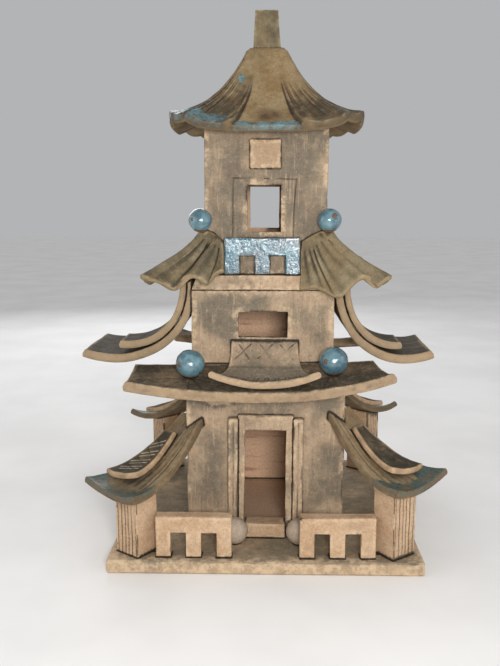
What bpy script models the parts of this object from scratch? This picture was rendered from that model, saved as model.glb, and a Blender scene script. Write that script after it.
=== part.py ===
"""A hand-built stoneware pagoda ornament, about half a metre tall.

Metres, +Z up. The origin is the centre of the base slab's underside, the front looks along -Y,
and left means -X. Every piece is a clay slab, strip or ball, and pieces that touch keep GAP.
"""

import math

import bmesh
import bpy
from mathutils import Vector

# Clay and joints
GAP = 0.0003
WALL = 0.006
SHEET = 0.006
EDGE_ROUND = 0.0008
BASE_EDGE_ROUND = 0.0015
CUT_PAST = 0.01
STEP = 1e-4

# Base slab
BASE_X, BASE_Y, BASE_TOP = 0.280, 0.262, 0.012

# Ground storey: outer half sizes, wall height and door
GROUND_HALF = 0.073
GROUND_TOP = 0.166
DOOR_LEFT, DOOR_RIGHT = -0.019, 0.019
DOOR_SILL_TOP, DOOR_TOP = 0.026, 0.115
DOOR_FRAME_HALF = 0.0253
DOOR_FRAME_TOP = 0.129
DOOR_FRAME_DEPTH = 0.0042
JAMB_WIDTH, JAMB_TOP, JAMB_DEPTH = 0.0088, 0.126, 0.0055
SILL_HALF, SILL_FRONT = 0.0185, -0.084

# Fences beside the door
RAIL_FRONT, RAIL_DEPTH, RAIL_TOP = -0.124, 0.012, 0.050
RAIL_INNER, RAIL_LENGTH = 0.0295, 0.067
RAIL_RIGHT_SHIFT = 0.001
RAIL_LEG, RAIL_GAP_TOP = 0.0130, 0.0355

# Corner posts and the curved wings over them
POST_SIDE, POST_TURN = 0.026, math.radians(36)
POST_X, POST_Y, POST_ROUGH_TOP = 0.1151, 0.1088, 0.090
WING_START, WING_BEND, WING_LENGTH = -0.014, -0.008, 0.083
WING_EAVE_Z, WING_RISE, WING_SPAN = 0.068, 0.047, 0.091
WING_ROOT_INNER, WING_ROOT_OUTER = 0.011, 0.019
WING_EAVE_INNER, WING_CURL_INNER = 0.032, 0.006
WING_STEPS = (14, 6)

# Strips lying on the wings' outer halves, widening to a slanted round end
STRIP_THICK, STRIP_CLEAR = 0.005, 0.0005
STRIP_START, STRIP_END, STRIP_END_SLANT, STRIP_END_BULGE = 0.003, 0.061, 0.004, 0.004
STRIP_ROOT, STRIP_TIP = (0.003, 0.016), (-0.008, 0.032)
STRIP_LIFT_INNER, STRIP_LIFT_OUTER = 0.006, 0.0015
STRIP_STEPS = (12, 5)

# Corners: name, signs of x and y, lift, the eave's outer half, its curl, the strip's shift outwards
CORNERS = (
    ("front_left", -1, -1, 0.0, 0.045, 0.004, 0.0025),
    ("front_right", 1, -1, 0.0075, 0.045, 0.007, -0.002),
    ("rear_left", -1, 1, 0.0, 0.039, 0.009, -0.002),
    ("rear_right", 1, 1, 0.0075, 0.034, 0.012, -0.004),
)

# Floor slabs and the skirt roofs over the ground storey
FLOOR2_TOP = 0.173
FLOOR2_HALF_Y = 0.0655
SKIRT_THICK = 0.0085
SKIRT_FRONT, SKIRT_BACK = -0.1185, -0.0665
SKIRT_LEFT, SKIRT_RIGHT, SKIRT_RIGHT_SLANT = -0.121, 0.109, 0.010
SKIRT_FRONT_Z, SKIRT_RISE, SKIRT_TILT = 0.161, 0.015, 0.018
SKIRT_CURL_LEFT, SKIRT_CURL_RIGHT, SKIRT_CURL_POWER, SKIRT_FLATTER_BACK = 0.012, 0.0165, 2.2, 0.85
SKIRT_STEPS = (18, 6)

# Second storey
MIDDLE_X, MIDDLE_HALF_Y = (-0.068, 0.062), 0.066
MIDDLE_BASE, MIDDLE_TOP = 0.1733, 0.244
MIDDLE_WINDOW_X, MIDDLE_WINDOW_Z = (-0.025, 0.020), (0.200, 0.224)

# Awning under the second storey's window: profile handles as (y, z) of its top face
AWNING_THICK = 0.0055
AWNING_PROFILE = ((-0.0664, 0.1975), (-0.073, 0.182), (-0.088, 0.168), (-0.112, 0.1685))
AWNING_TOP_HALF, AWNING_LIP_HALF, AWNING_LIP_CURL = 0.0305, 0.047, 0.011
AWNING_SHIFT, AWNING_OVER_SKIRT = -0.001, 0.004
AWNING_STEPS, AWNING_MARGIN = (16, 10), 0.03

# Side roofs: profile handles of the lower sheet's underside as (distance from wall, z)
SIDE_THICK, SIDE_UPPER_THICK = 0.0072, 0.0062
SIDE_PROFILE = ((0.0004, 0.2510), (0.0004, 0.187), (0.060, 0.1645), (0.1035, 0.182))
SIDE_UPPER_END, SIDE_UPPER_LIFT = 0.75, 0.006
SIDE_FRONT, SIDE_BACK = -0.066, 0.0652
SIDE_UPPER_FRONT, SIDE_UPPER_BACK = -0.065, -0.012
SIDE_LEFT_START, SIDE_LEFT_STRETCH, SIDE_LEFT_FLARE = 0.0635, 1.03, 0.065
SIDE_RIGHT_START, SIDE_RIGHT_STRETCH, SIDE_RIGHT_FLARE = 0.062, 0.90, 0.11
SIDE_REAR_DROOP = 0.009
SIDE_STEPS, SIDE_UPPER_STEPS = (18, 4), (16, 3)

# Third storey, its floor slab and the glazed rail
FLOOR3_BASE, FLOOR3_TOP = 0.2443, 0.257
FLOOR3_LOW_HALF, FLOOR3_HIGH_HALF = (0.0645, 0.0675), (0.060, 0.065)
FLOOR3_SHIFT = -0.0025
TOP_HALF_X, TOP_HALF_Y = 0.0555, 0.057
TOP_BASE, TOP_ROUGH_TOP = 0.2573, 0.41
TOP_WINDOW_X, TOP_WINDOW_Z = (-0.017, 0.0135), (0.296, 0.338)
TILE_X, TILE_Z, TILE_DEPTH = (-0.0146, 0.013), (0.352, 0.3775), 0.003
GLAZED_RAIL_X, GLAZED_RAIL_TOP = (-0.038, 0.031), 0.291
GLAZED_RAIL_DEPTH, GLAZED_RAIL_LEG, GLAZED_RAIL_GAP_TOP = 0.0042, 0.0135, 0.275
GLAZED_RAIL_CLEAR = 0.0005

# Upper wings round the third storey's corners: eave heights from the inner end to the corner
UPPER_THICK = 0.005
UPPER_TOP_Z, UPPER_INNER_TOP_Z = 0.297, 0.287
UPPER_INNER_LEFT, UPPER_INNER_RIGHT, UPPER_INNER_Y = 0.0396, 0.0325, 0.073
UPPER_CORNER_X, UPPER_CORNER_Y = 0.106, 0.100
UPPER_EAVE_LEFT = ((0.0, 0.259), (0.2, 0.249), (0.36, 0.256), (0.6, 0.246), (0.86, 0.254), (1.0, 0.256))
UPPER_EAVE_RIGHT = ((0.0, 0.244), (0.12, 0.246), (0.41, 0.239), (0.7, 0.256), (0.85, 0.249), (1.0, 0.256))
UPPER_FRONT_SHARE, UPPER_SIDE_PINCH = 0.3, 0.007
UPPER_SIDE_EAVE, UPPER_SIDE_FLUTES, UPPER_FLUTE_DEPTH = 0.250, 4, 0.003
UPPER_OUT_POWER, UPPER_DOWN_POWER = 1.25, 0.8
UPPER_STEPS = (48, 5)

# Roof and finial: hip profile handles as (distance in x, z) of the top face
ROOF_THICK = 0.006
ROOF_TOP_Z, ROOF_FLAT_SHARE = 0.4625, 0.12
ROOF_PROFILE = ((0.0165, 0.4625), (0.027, 0.438), (0.042, 0.410), (0.070, 0.397))
ROOF_CORNER, ROOF_CORNER_POWER = 0.917, 8
ROOF_STRETCH_X, ROOF_STRETCH_Y = (1.166, 1.0), (1.06, 1.114)
ROOF_FRONT_SAG, ROOF_SIDE_SAG = 0.0105, 0.004
ROOF_TIP_LIFT, ROOF_TIP_PLACE, ROOF_TIP_WIDTH = 0.0065, 0.62, 0.20
ROOF_STEPS, ROOF_STEP_SPREAD = (18, 18), 1.35
ROOF_OVER = 0.12
FINIAL_LOW_HALF, FINIAL_HIGH_HALF, FINIAL_TOP = 0.0127, 0.0106, 0.497

# Balls: place in plan, radius, and the height of the centre over the seat as a share of the radius
BALL_SINK = 0.94
BALL_ROUND_STEPS, BALL_HIGH_STEPS = 16, 10
DOOR_BALLS = ((-0.0275, -0.092), (0.0315, -0.0925))
DOOR_BALL_RADIUS = 0.012
MIDDLE_BALLS = ((-0.068, -0.086), (0.0615, -0.085))
MIDDLE_BALL_RADIUS = 0.0128
UPPER_BALLS = ((-0.0585, -0.066), (0.0565, -0.066))
UPPER_BALL_RADIUS, UPPER_BALL_Z = 0.0105, 0.3065

CLAY = ((0.52, 0.39, 0.27), 0.85)
BARE_CLAY = ((0.62, 0.46, 0.33), 0.85)
DARK_CLAY = ((0.30, 0.24, 0.16), 0.8)
GREY_CLAY = ((0.40, 0.34, 0.27), 0.85)
BLUE_GLAZE = ((0.20, 0.42, 0.48), 0.15)


def clear_scene():
    for old in list(bpy.data.objects):
        bpy.data.objects.remove(old, do_unlink=True)


def make_collection(name):
    collection = bpy.data.collections.new(name)
    bpy.context.scene.collection.children.link(collection)
    return collection


def make_material(name, finish):
    colour, roughness = finish
    material = bpy.data.materials.new(name)
    material.use_nodes = True
    shader = material.node_tree.nodes["Principled BSDF"]
    shader.inputs["Base Color"].default_value = (*colour, 1.0)
    shader.inputs["Roughness"].default_value = roughness
    shader.inputs["Metallic"].default_value = 0.0
    return material


clear_scene()
PARTS = make_collection("pagoda")
CUTTERS = make_collection("cutters")
ROOT = bpy.data.objects.new("pagoda_root", None)
PARTS.objects.link(ROOT)


def add_part(name, mesh, finish, location=(0, 0, 0), turn=0.0):
    obj = bpy.data.objects.new(name, mesh)
    obj.location = location
    obj.rotation_euler = (0, 0, turn)
    obj.parent = ROOT
    obj.data.materials.clear()
    obj.data.materials.append(make_material(name, finish))
    PARTS.objects.link(obj)
    return obj


def add_cutter(name, mesh, location=(0, 0, 0), turn=0.0):
    obj = bpy.data.objects.new(name, mesh)
    obj.location = location
    obj.rotation_euler = (0, 0, turn)
    obj.hide_render = True
    obj.display_type = "WIRE"
    CUTTERS.objects.link(obj)
    return obj


def finish_mesh(name, bm):
    mesh = bpy.data.meshes.new(name)
    bm.normal_update()
    bm.to_mesh(mesh)
    bm.free()
    return mesh


def box_mesh(name, size, top_scale=(1.0, 1.0)):
    """A block centred on its own origin, its top narrowed by top_scale."""
    bm = bmesh.new()
    bmesh.ops.create_cube(bm, size=1.0)
    for vertex in bm.verts:
        narrow = top_scale if vertex.co.z > 0 else (1.0, 1.0)
        vertex.co.x *= size[0] * narrow[0]
        vertex.co.y *= size[1] * narrow[1]
        vertex.co.z *= size[2]
    return finish_mesh(name, bm)


def middle(low, high):
    return [(a + b) / 2 for a, b in zip(low, high)]


def extent(low, high):
    return [b - a for a, b in zip(low, high)]


def box(name, low, high, finish, rounded=EDGE_ROUND):
    obj = add_part(name, box_mesh(name, extent(low, high)), finish, middle(low, high))
    if rounded:
        bevel = obj.modifiers.new("worn_edges", "BEVEL")
        bevel.width = rounded
        bevel.segments = 1
        bevel.limit_method = "ANGLE"
    return obj


def box_cutter(name, low, high):
    return add_cutter(name, box_mesh(name, extent(low, high)), middle(low, high))


def body_cutter(name, x, half_y, low, high):
    """The outside of a storey, from x[0] to x[1], with GAP round it."""
    y = half_y + GAP
    return box_cutter(name, (x[0] - GAP, -y, low), (x[1] + GAP, y, high))


def both_ways(half):
    return (-half, half)


def subtract(obj, *cutters):
    for cutter in cutters:
        cut = obj.modifiers.new("cut_" + cutter.name, "BOOLEAN")
        cut.operation = "DIFFERENCE"
        cut.solver = "EXACT"
        cut.object = cutter


def lerp(a, b, t):
    return a + (b - a) * t


def bezier(handles, t):
    """A point of the cubic Bezier curve with these four handles."""
    weights = ((1 - t) ** 3, 3 * t * (1 - t) ** 2, 3 * t * t * (1 - t), t**3)
    return [sum(w * handle[i] for w, handle in zip(weights, handles)) for i in range(2)]


def bezier_normal(handles, t):
    """The unit normal on the left of the curve's direction."""
    before, after = bezier(handles, t - STEP), bezier(handles, t + STEP)
    run, rise = after[0] - before[0], after[1] - before[1]
    length = math.hypot(run, rise)
    return -rise / length, run / length


def eased(points, t):
    """A height that passes smoothly through (place, height) points."""
    for (start, low), (end, high) in zip(points, points[1:]):
        if t <= end:
            part = (t - start) / (end - start)
            return lerp(low, high, (1 - math.cos(math.pi * part)) / 2)
    return points[-1][1]


def split_outward(bm):
    """Splits each square of a grid from the corner nearest the middle to the farthest."""
    for face in bm.faces[:]:
        corners = sorted(face.verts, key=lambda vertex: vertex.co.length)
        bmesh.utils.face_split(face, corners[0], corners[-1])


def surface_mesh(name, point, steps, margin=0.0, hipped=False):
    """An open sheet through point(u, v) for u and v from 0 to 1, facing up."""
    bm = bmesh.new()
    bmesh.ops.create_grid(bm, x_segments=steps[0], y_segments=steps[1], size=0.5)
    if hipped:
        split_outward(bm)
    for vertex in bm.verts:
        u = vertex.co.x * (1 + 2 * margin) + 0.5
        v = vertex.co.y * (1 + 2 * margin) + 0.5
        vertex.co = point(u, v)
    bm.normal_update()
    if sum(face.normal.z * face.calc_area() for face in bm.faces) < 0:
        bmesh.ops.reverse_faces(bm, faces=bm.faces)
    return finish_mesh(name, bm)


def thicken(obj, thickness, offset):
    solidify = obj.modifiers.new("thickness", "SOLIDIFY")
    solidify.thickness = thickness
    solidify.offset = offset
    solidify.use_even_offset = True


def sheet(name, point, steps, thickness, finish, offset=1.0, location=(0, 0, 0), turn=0.0, hipped=False):
    """A slab of this thickness over (offset 1) or under (offset -1) the surface."""
    obj = add_part(name, surface_mesh(name, point, steps, hipped=hipped), finish, location, turn)
    thicken(obj, thickness, offset)
    return obj


def sheet_cutter(name, point, steps, thickness, offset, margin=0.0, hipped=False):
    """The same slab with GAP round it, for cutting a seat in what rests on it."""
    obj = add_cutter(name, surface_mesh(name, point, steps, margin, hipped))
    whole = thickness + 2 * GAP
    thicken(obj, whole, offset * thickness / whole)
    return obj


def volume_over(name, point, steps, height, location=(0, 0, 0), turn=0.0, hipped=False):
    """Everything from GAP under a surface up to height above it."""
    bm = bmesh.new()
    bm.from_mesh(surface_mesh(name, point, steps, 0.03, hipped))
    bmesh.ops.translate(bm, verts=bm.verts, vec=(0, 0, -GAP))
    raised = bmesh.ops.extrude_face_region(bm, geom=bm.faces[:])
    top = [item for item in raised["geom"] if isinstance(item, bmesh.types.BMVert)]
    bmesh.ops.translate(bm, verts=top, vec=(0, 0, height))
    bmesh.ops.recalc_face_normals(bm, faces=bm.faces)
    return add_cutter(name, finish_mesh(name, bm), location, turn)


# Surfaces, each given by a formula


def slope_normal(height, x, y):
    """The upward unit normal of the surface z = height(x, y)."""
    slope_x = (height(x + STEP, y) - height(x - STEP, y)) / (2 * STEP)
    slope_y = (height(x, y + STEP) - height(x, y - STEP)) / (2 * STEP)
    return Vector((-slope_x, -slope_y, 1)).normalized()


def wing_height(outer, outer_eave, outer_curl):
    """Height of a corner wing's underside; x runs out from the wall, outer is the outer side's sign."""

    def height(x, y):
        fall = 1 - (x - WING_BEND) / WING_SPAN
        half, curl = WING_EAVE_INNER, WING_CURL_INNER
        if y * outer > 0:
            half, curl = outer_eave, outer_curl
        outward = max(0.0, x / WING_LENGTH)
        return WING_EAVE_Z + WING_RISE * fall * fall + curl * outward**2 * (y / half) ** 2

    return height


def wing_point(outer, outer_eave, height):
    def point(u, v):
        x = lerp(WING_START, WING_LENGTH, u)
        across = 2 * v - 1
        root, eave = WING_ROOT_INNER, WING_EAVE_INNER
        if across * outer > 0:
            root, eave = WING_ROOT_OUTER, outer_eave
        y = across * lerp(root, eave, u)
        return Vector((x, y, height(x, y)))

    return point


def strip_point(outer, height, shift):
    """Underside of the narrow strip that lies on a wing and lifts at its tip; shift moves it outwards."""

    def point(u, v):
        across = (2 * v - 1) * outer
        end = STRIP_END + STRIP_END_SLANT * across + STRIP_END_BULGE * (1 - across**2)
        x = lerp(STRIP_START, end, u)
        share = (across + 1) / 2
        side = lerp(lerp(*STRIP_ROOT, share), lerp(*STRIP_TIP, share), u) + shift
        y = side * outer
        lift = lerp(STRIP_LIFT_INNER, STRIP_LIFT_OUTER, share)
        clear = SHEET + STRIP_CLEAR + lift * u**3
        return Vector((x, y, height(x, y))) + clear * slope_normal(height, x, y)

    return point


def skirt_height(x, y):
    part = (y - SKIRT_FRONT) / (SKIRT_BACK - SKIRT_FRONT)
    part = min(max(part, 0.0), 1.0)
    curl, reach = (SKIRT_CURL_LEFT, SKIRT_LEFT) if x < 0 else (SKIRT_CURL_RIGHT, SKIRT_RIGHT)
    rise = curl * abs(x / reach) ** SKIRT_CURL_POWER * (1 - SKIRT_FLATTER_BACK * part)
    return SKIRT_FRONT_Z + SKIRT_RISE * part**1.5 + rise + SKIRT_TILT * x


def skirt_point(u, v):
    y = lerp(SKIRT_FRONT, SKIRT_BACK, v)
    x = lerp(SKIRT_LEFT, SKIRT_RIGHT - SKIRT_RIGHT_SLANT * v, u)
    return Vector((x, y, skirt_height(x, y)))


def awning_point(u, v):
    y, z = bezier(AWNING_PROFILE, v)
    across = 2 * u - 1
    half = lerp(AWNING_TOP_HALF, AWNING_LIP_HALF, v**3)
    return Vector((across * half + AWNING_SHIFT, y, z + AWNING_LIP_CURL * across**2 * v**4))


def side_place(side, start, away, flare, u, y, z):
    """A point of a side sheet; towards the rear its outer end flares out and droops."""
    rear = (y - SIDE_FRONT) / (SIDE_BACK - SIDE_FRONT)
    out = away * (1 + flare * rear * u)
    return Vector((side * (start + out), y, z - SIDE_REAR_DROOP * rear * u**2))


def side_point(side, start, stretch, flare):
    """Underside of a lower side sheet: u runs from the wall out, v from front to back."""

    def point(u, v):
        away, z = bezier(SIDE_PROFILE, u)
        return side_place(side, start, away * stretch, flare, u, lerp(SIDE_FRONT, SIDE_BACK, v), z)

    return point


def side_upper_point(side, start, stretch, flare):
    """Underside of the shorter sheet that lies on a lower one and lifts at its tip."""

    def point(u, v):
        t = u * SIDE_UPPER_END
        away, z = bezier(SIDE_PROFILE, t)
        out, up = bezier_normal(SIDE_PROFILE, t)
        clear = SIDE_THICK + 2 * GAP + SIDE_UPPER_LIFT * u**3
        y = lerp(SIDE_UPPER_FRONT, SIDE_UPPER_BACK, v)
        lower = side_place(side, start, away * stretch, flare, t, y, z)
        return lower + Vector((side * out, 0, up)) * clear

    return point


def upper_front_rim(inner, eave, part):
    """The front stretch of an upper wing, from its inner end to the corner: wall line and eave."""
    swing = math.sin(part * math.pi / 2)
    top = (lerp(inner, TOP_HALF_X, part), TOP_HALF_Y, lerp(UPPER_INNER_TOP_Z, UPPER_TOP_Z, swing))
    low = (lerp(inner, UPPER_CORNER_X, part), lerp(UPPER_INNER_Y, UPPER_CORNER_Y, swing), eased(eave, part))
    return top, low


def upper_side_rim(eave, part):
    """The side stretch, from the corner to the middle of the side."""
    wave = 1 - math.cos(part * math.pi * UPPER_SIDE_FLUTES)
    low_x = UPPER_CORNER_X - UPPER_SIDE_PINCH * math.sin(part * math.pi / 2)
    low_z = lerp(eave[-1][1], UPPER_SIDE_EAVE, part) - UPPER_FLUTE_DEPTH * wave * (1 - part / 2)
    return (TOP_HALF_X, TOP_HALF_Y * (1 - part), UPPER_TOP_Z), (low_x, UPPER_CORNER_Y * (1 - part), low_z)


def upper_wing_point(side, inner, eave):
    """Underside of an upper wing: u runs from the front round the side to the back, v down."""

    def point(u, v):
        place = min(u, 1 - u)
        if place < UPPER_FRONT_SHARE:
            top, low = upper_front_rim(inner, eave, place / UPPER_FRONT_SHARE)
        else:
            top, low = upper_side_rim(eave, (place - UPPER_FRONT_SHARE) / (0.5 - UPPER_FRONT_SHARE))
        out, down = v**UPPER_OUT_POWER, v**UPPER_DOWN_POWER
        y = lerp(top[1], low[1], out)
        depth = y if u > 0.5 else -y
        return Vector((side * lerp(top[0], low[0], out), depth, lerp(top[2], low[2], down)))

    return point


def roof_height(t, out, side_on, near):
    """Top face at share t of the way to the eave; near is 1 on a hip, side_on 1 facing sideways."""
    z = bezier(ROOF_PROFILE, out)[1]
    sag = lerp(ROOF_FRONT_SAG, ROOF_SIDE_SAG, side_on) * (1 - near)
    tip = math.exp(-(((near ** 0.25) - ROOF_TIP_PLACE) / ROOF_TIP_WIDTH) ** 2)
    return z - sag * out**1.5 + ROOF_TIP_LIFT * side_on * tip * t**6


def roof_point(u, v):
    """A hipped square form with rounded hips, flat on top, that sags between its corners."""

    def spread(t):
        side = 2 * t - 1
        return math.copysign(abs(side) ** ROOF_STEP_SPREAD, side)

    a, b = spread(u), spread(v)
    t = max(abs(a), abs(b))
    if t == 0:
        return Vector((0, 0, ROOF_TOP_Z))
    limit = (abs(a / t) ** ROOF_CORNER_POWER + abs(b / t) ** ROOF_CORNER_POWER) ** (1 / ROOF_CORNER_POWER)
    across, along = a / (t * limit), b / (t * limit)
    near = (min(abs(across), abs(along)) / ROOF_CORNER) ** 4
    if t <= ROOF_FLAT_SHARE:
        half = ROOF_PROFILE[0][0] / ROOF_CORNER * t / ROOF_FLAT_SHARE
        return Vector((across * half, along * half, ROOF_TOP_Z))
    out = (t - ROOF_FLAT_SHARE) / (1 - ROOF_FLAT_SHARE)
    half = bezier(ROOF_PROFILE, out)[0] / ROOF_CORNER
    x = across * half * lerp(1, lerp(*ROOF_STRETCH_X, near), out)
    y = along * half * lerp(1, lerp(*ROOF_STRETCH_Y, near), out)
    side_on = min(max((abs(across) - abs(along)) * 4, 0.0), 1.0)
    return Vector((x, y, roof_height(t, out, side_on, near)))


def roof_inside_point(u, v):
    return roof_point(u, v) - Vector((0, 0, ROOF_THICK / 2))


# Pieces


def front_and_back(name, x, half_y, base, top):
    front = box(name + "_front_wall", (x[0], -half_y, base), (x[1], -half_y + WALL, top), CLAY)
    back = box(name + "_back_wall", (x[0], half_y - WALL, base), (x[1], half_y, top), CLAY)
    return front, back


def side_walls(name, x, half_y, base, top):
    inner = half_y - WALL - GAP
    left = box(name + "_left_wall", (x[0], -inner, base), (x[0] + WALL, inner, top), CLAY)
    right = box(name + "_right_wall", (x[1] - WALL, -inner, base), (x[1], inner, top), CLAY)
    return left, right


def add_base():
    low, high = (-BASE_X / 2, -BASE_Y / 2, 0), (BASE_X / 2, BASE_Y / 2, BASE_TOP)
    box("base_slab", low, high, BARE_CLAY, BASE_EDGE_ROUND)


def add_ground_storey():
    base = BASE_TOP + GAP
    size = (both_ways(GROUND_HALF), GROUND_HALF, base, GROUND_TOP)
    front = front_and_back("ground", *size)[0]
    side_walls("ground", *size)
    face = -GROUND_HALF
    opening = box_cutter(
        "door_opening",
        (DOOR_LEFT, face - CUT_PAST, base - CUT_PAST),
        (DOOR_RIGHT, face + WALL + CUT_PAST, DOOR_TOP),
    )
    subtract(front, opening)
    frame = box(
        "door_frame",
        (-DOOR_FRAME_HALF, face - GAP - DOOR_FRAME_DEPTH, DOOR_SILL_TOP + GAP),
        (DOOR_FRAME_HALF, face - GAP, DOOR_FRAME_TOP),
        CLAY,
    )
    subtract(frame, opening)
    edges = {"left": -DOOR_FRAME_HALF - GAP - JAMB_WIDTH, "right": DOOR_FRAME_HALF + GAP}
    for side, edge in edges.items():
        low = (edge, face - GAP - JAMB_DEPTH, base)
        box("door_jamb_" + side, low, (edge + JAMB_WIDTH, face - GAP, JAMB_TOP), CLAY)
    low, high = (-SILL_HALF, SILL_FRONT, base), (SILL_HALF, face + WALL, DOOR_SILL_TOP)
    box("door_sill", low, high, BARE_CLAY)


def add_fence(name, low, high, leg, gap_top, finish):
    """A slab standing on three legs, with two openings between them."""
    rail = box(name, low, high, finish)
    opening = (high[0] - low[0] - 3 * leg) / 2
    for number in range(2):
        start = low[0] + leg + number * (opening + leg)
        cutter = box_cutter(
            f"{name}_gap_{number + 1}",
            (start, low[1] - CUT_PAST, low[2] - CUT_PAST),
            (start + opening, high[1] + CUT_PAST, gap_top),
        )
        subtract(rail, cutter)


def add_front_rails():
    starts = {"left": -RAIL_INNER - RAIL_LENGTH, "right": RAIL_INNER + RAIL_RIGHT_SHIFT}
    for side, start in starts.items():
        low = (start, RAIL_FRONT, BASE_TOP + GAP)
        high = (start + RAIL_LENGTH, RAIL_FRONT + RAIL_DEPTH, RAIL_TOP)
        add_fence("front_rail_" + side, low, high, RAIL_LEG, RAIL_GAP_TOP, BARE_CLAY)


def add_corner(body, name, sign_x, sign_y, lift, outer_eave, outer_curl, strip_shift):
    """A square post, the wing that it carries and the strip on the wing."""
    corner = (sign_x * GROUND_HALF, sign_y * GROUND_HALF, lift)
    turn = math.atan2(sign_y, sign_x)
    outer = -sign_x * sign_y
    height = wing_height(outer, outer_eave, outer_curl)
    point = wing_point(outer, outer_eave, height)
    wing = sheet("lower_wing_" + name, point, WING_STEPS, SHEET, DARK_CLAY, 1.0, corner, turn)
    on_wing = strip_point(outer, height, strip_shift)
    strip = sheet("wing_strip_" + name, on_wing, STRIP_STEPS, STRIP_THICK, CLAY, 1.0, corner, turn)
    subtract(wing, body)
    subtract(strip, body)
    base = BASE_TOP + GAP
    mesh = box_mesh("corner_post", (POST_SIDE, POST_SIDE, POST_ROUGH_TOP - base))
    place = (sign_x * POST_X, sign_y * POST_Y, (POST_ROUGH_TOP + base) / 2)
    post = add_part("corner_post_" + name, mesh, BARE_CLAY, place, outer * POST_TURN)
    subtract(post, volume_over("over_wing_" + name, point, WING_STEPS, POST_ROUGH_TOP, corner, turn))


def add_corners():
    body = body_cutter("ground_body", both_ways(GROUND_HALF), GROUND_HALF, 0, GROUND_TOP)
    for corner in CORNERS:
        add_corner(body, *corner)


def add_skirts():
    """Floor of the second storey with a broad curved roof before it and another behind."""
    low, high = (-GROUND_HALF, -FLOOR2_HALF_Y, GROUND_TOP + GAP), (GROUND_HALF, FLOOR2_HALF_Y, FLOOR2_TOP)
    box("middle_floor_slab", low, high, CLAY)
    seats = (
        body_cutter("under_skirt", both_ways(GROUND_HALF), GROUND_HALF, 0, GROUND_TOP + GAP),
        body_cutter("skirt_floor", both_ways(GROUND_HALF), FLOOR2_HALF_Y, 0, FLOOR2_TOP + GAP),
        body_cutter("skirt_wall", MIDDLE_X, MIDDLE_HALF_Y, 0, MIDDLE_TOP),
    )
    for name, turn in (("front", 0.0), ("back", math.pi)):
        full = "skirt_roof_" + name
        skirt = sheet(full, skirt_point, SKIRT_STEPS, SKIRT_THICK, DARK_CLAY, -1.0, turn=turn)
        subtract(skirt, *seats)


def add_middle_storey():
    size = (MIDDLE_X, MIDDLE_HALF_Y, MIDDLE_BASE, MIDDLE_TOP)
    front = front_and_back("middle", *size)[0]
    side_walls("middle", *size)
    window = box_cutter(
        "middle_window",
        (MIDDLE_WINDOW_X[0], -MIDDLE_HALF_Y - CUT_PAST, MIDDLE_WINDOW_Z[0]),
        (MIDDLE_WINDOW_X[1], -MIDDLE_HALF_Y + WALL + CUT_PAST, MIDDLE_WINDOW_Z[1]),
    )
    subtract(front, window)
    awning = sheet("awning", awning_point, AWNING_STEPS, AWNING_THICK, CLAY, -1.0)
    seat_depth = SKIRT_THICK + AWNING_OVER_SKIRT
    over_skirt = sheet_cutter("awning_seat", skirt_point, SKIRT_STEPS, seat_depth, -1.0, margin=AWNING_MARGIN)
    subtract(awning, over_skirt, body_cutter("awning_wall", MIDDLE_X, MIDDLE_HALF_Y, 0, MIDDLE_TOP))


def add_side_roofs():
    """Two sheets on each side; the left lower one is let into the storey's wall."""
    body = body_cutter("middle_body", MIDDLE_X, MIDDLE_HALF_Y, 0, FLOOR3_TOP)
    sides = (
        ("left", -1, SIDE_LEFT_START, SIDE_LEFT_STRETCH, SIDE_LEFT_FLARE),
        ("right", 1, SIDE_RIGHT_START, SIDE_RIGHT_STRETCH, SIDE_RIGHT_FLARE),
    )
    for name, *shape in sides:
        lower = sheet("side_roof_lower_" + name, side_point(*shape), SIDE_STEPS, SIDE_THICK, CLAY)
        if name == "left":
            subtract(lower, body)
        upper = side_upper_point(*shape)
        sheet("side_roof_upper_" + name, upper, SIDE_UPPER_STEPS, SIDE_UPPER_THICK, CLAY)


def add_top_storey():
    low, high = FLOOR3_LOW_HALF, FLOOR3_HIGH_HALF
    slab = box_mesh(
        "top_floor_slab",
        (2 * low[0], 2 * low[1], FLOOR3_TOP - FLOOR3_BASE),
        (high[0] / low[0], high[1] / low[1]),
    )
    add_part("top_floor_slab", slab, CLAY, (FLOOR3_SHIFT, 0, (FLOOR3_TOP + FLOOR3_BASE) / 2))
    size = (both_ways(TOP_HALF_X), TOP_HALF_Y, TOP_BASE, TOP_ROUGH_TOP)
    front, back = front_and_back("top", *size)
    sides = side_walls("top", *size)
    roof_seats = (
        sheet_cutter("roof_seat", roof_point, ROOF_STEPS, ROOF_THICK + 2 * GAP, -1.0, hipped=True),
        volume_over("over_roof_seat", roof_inside_point, ROOF_STEPS, ROOF_OVER, hipped=True),
    )
    window = box_cutter(
        "top_windows",
        (TOP_WINDOW_X[0], -TOP_HALF_Y - CUT_PAST, TOP_WINDOW_Z[0]),
        (TOP_WINDOW_X[1], TOP_HALF_Y + CUT_PAST, TOP_WINDOW_Z[1]),
    )
    for wall in (front, back):
        subtract(wall, window)
    for wall in (front, back, *sides):
        subtract(wall, *roof_seats)
    face = -TOP_HALF_Y - GAP
    box("square_tile", (TILE_X[0], face - TILE_DEPTH, TILE_Z[0]), (TILE_X[1], face, TILE_Z[1]), BARE_CLAY)
    back = face - GLAZED_RAIL_CLEAR
    low = (GLAZED_RAIL_X[0], back - GLAZED_RAIL_DEPTH, FLOOR3_TOP + GAP)
    high = (GLAZED_RAIL_X[1], back, GLAZED_RAIL_TOP)
    add_fence("glazed_rail", low, high, GLAZED_RAIL_LEG, GLAZED_RAIL_GAP_TOP, BLUE_GLAZE)


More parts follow.
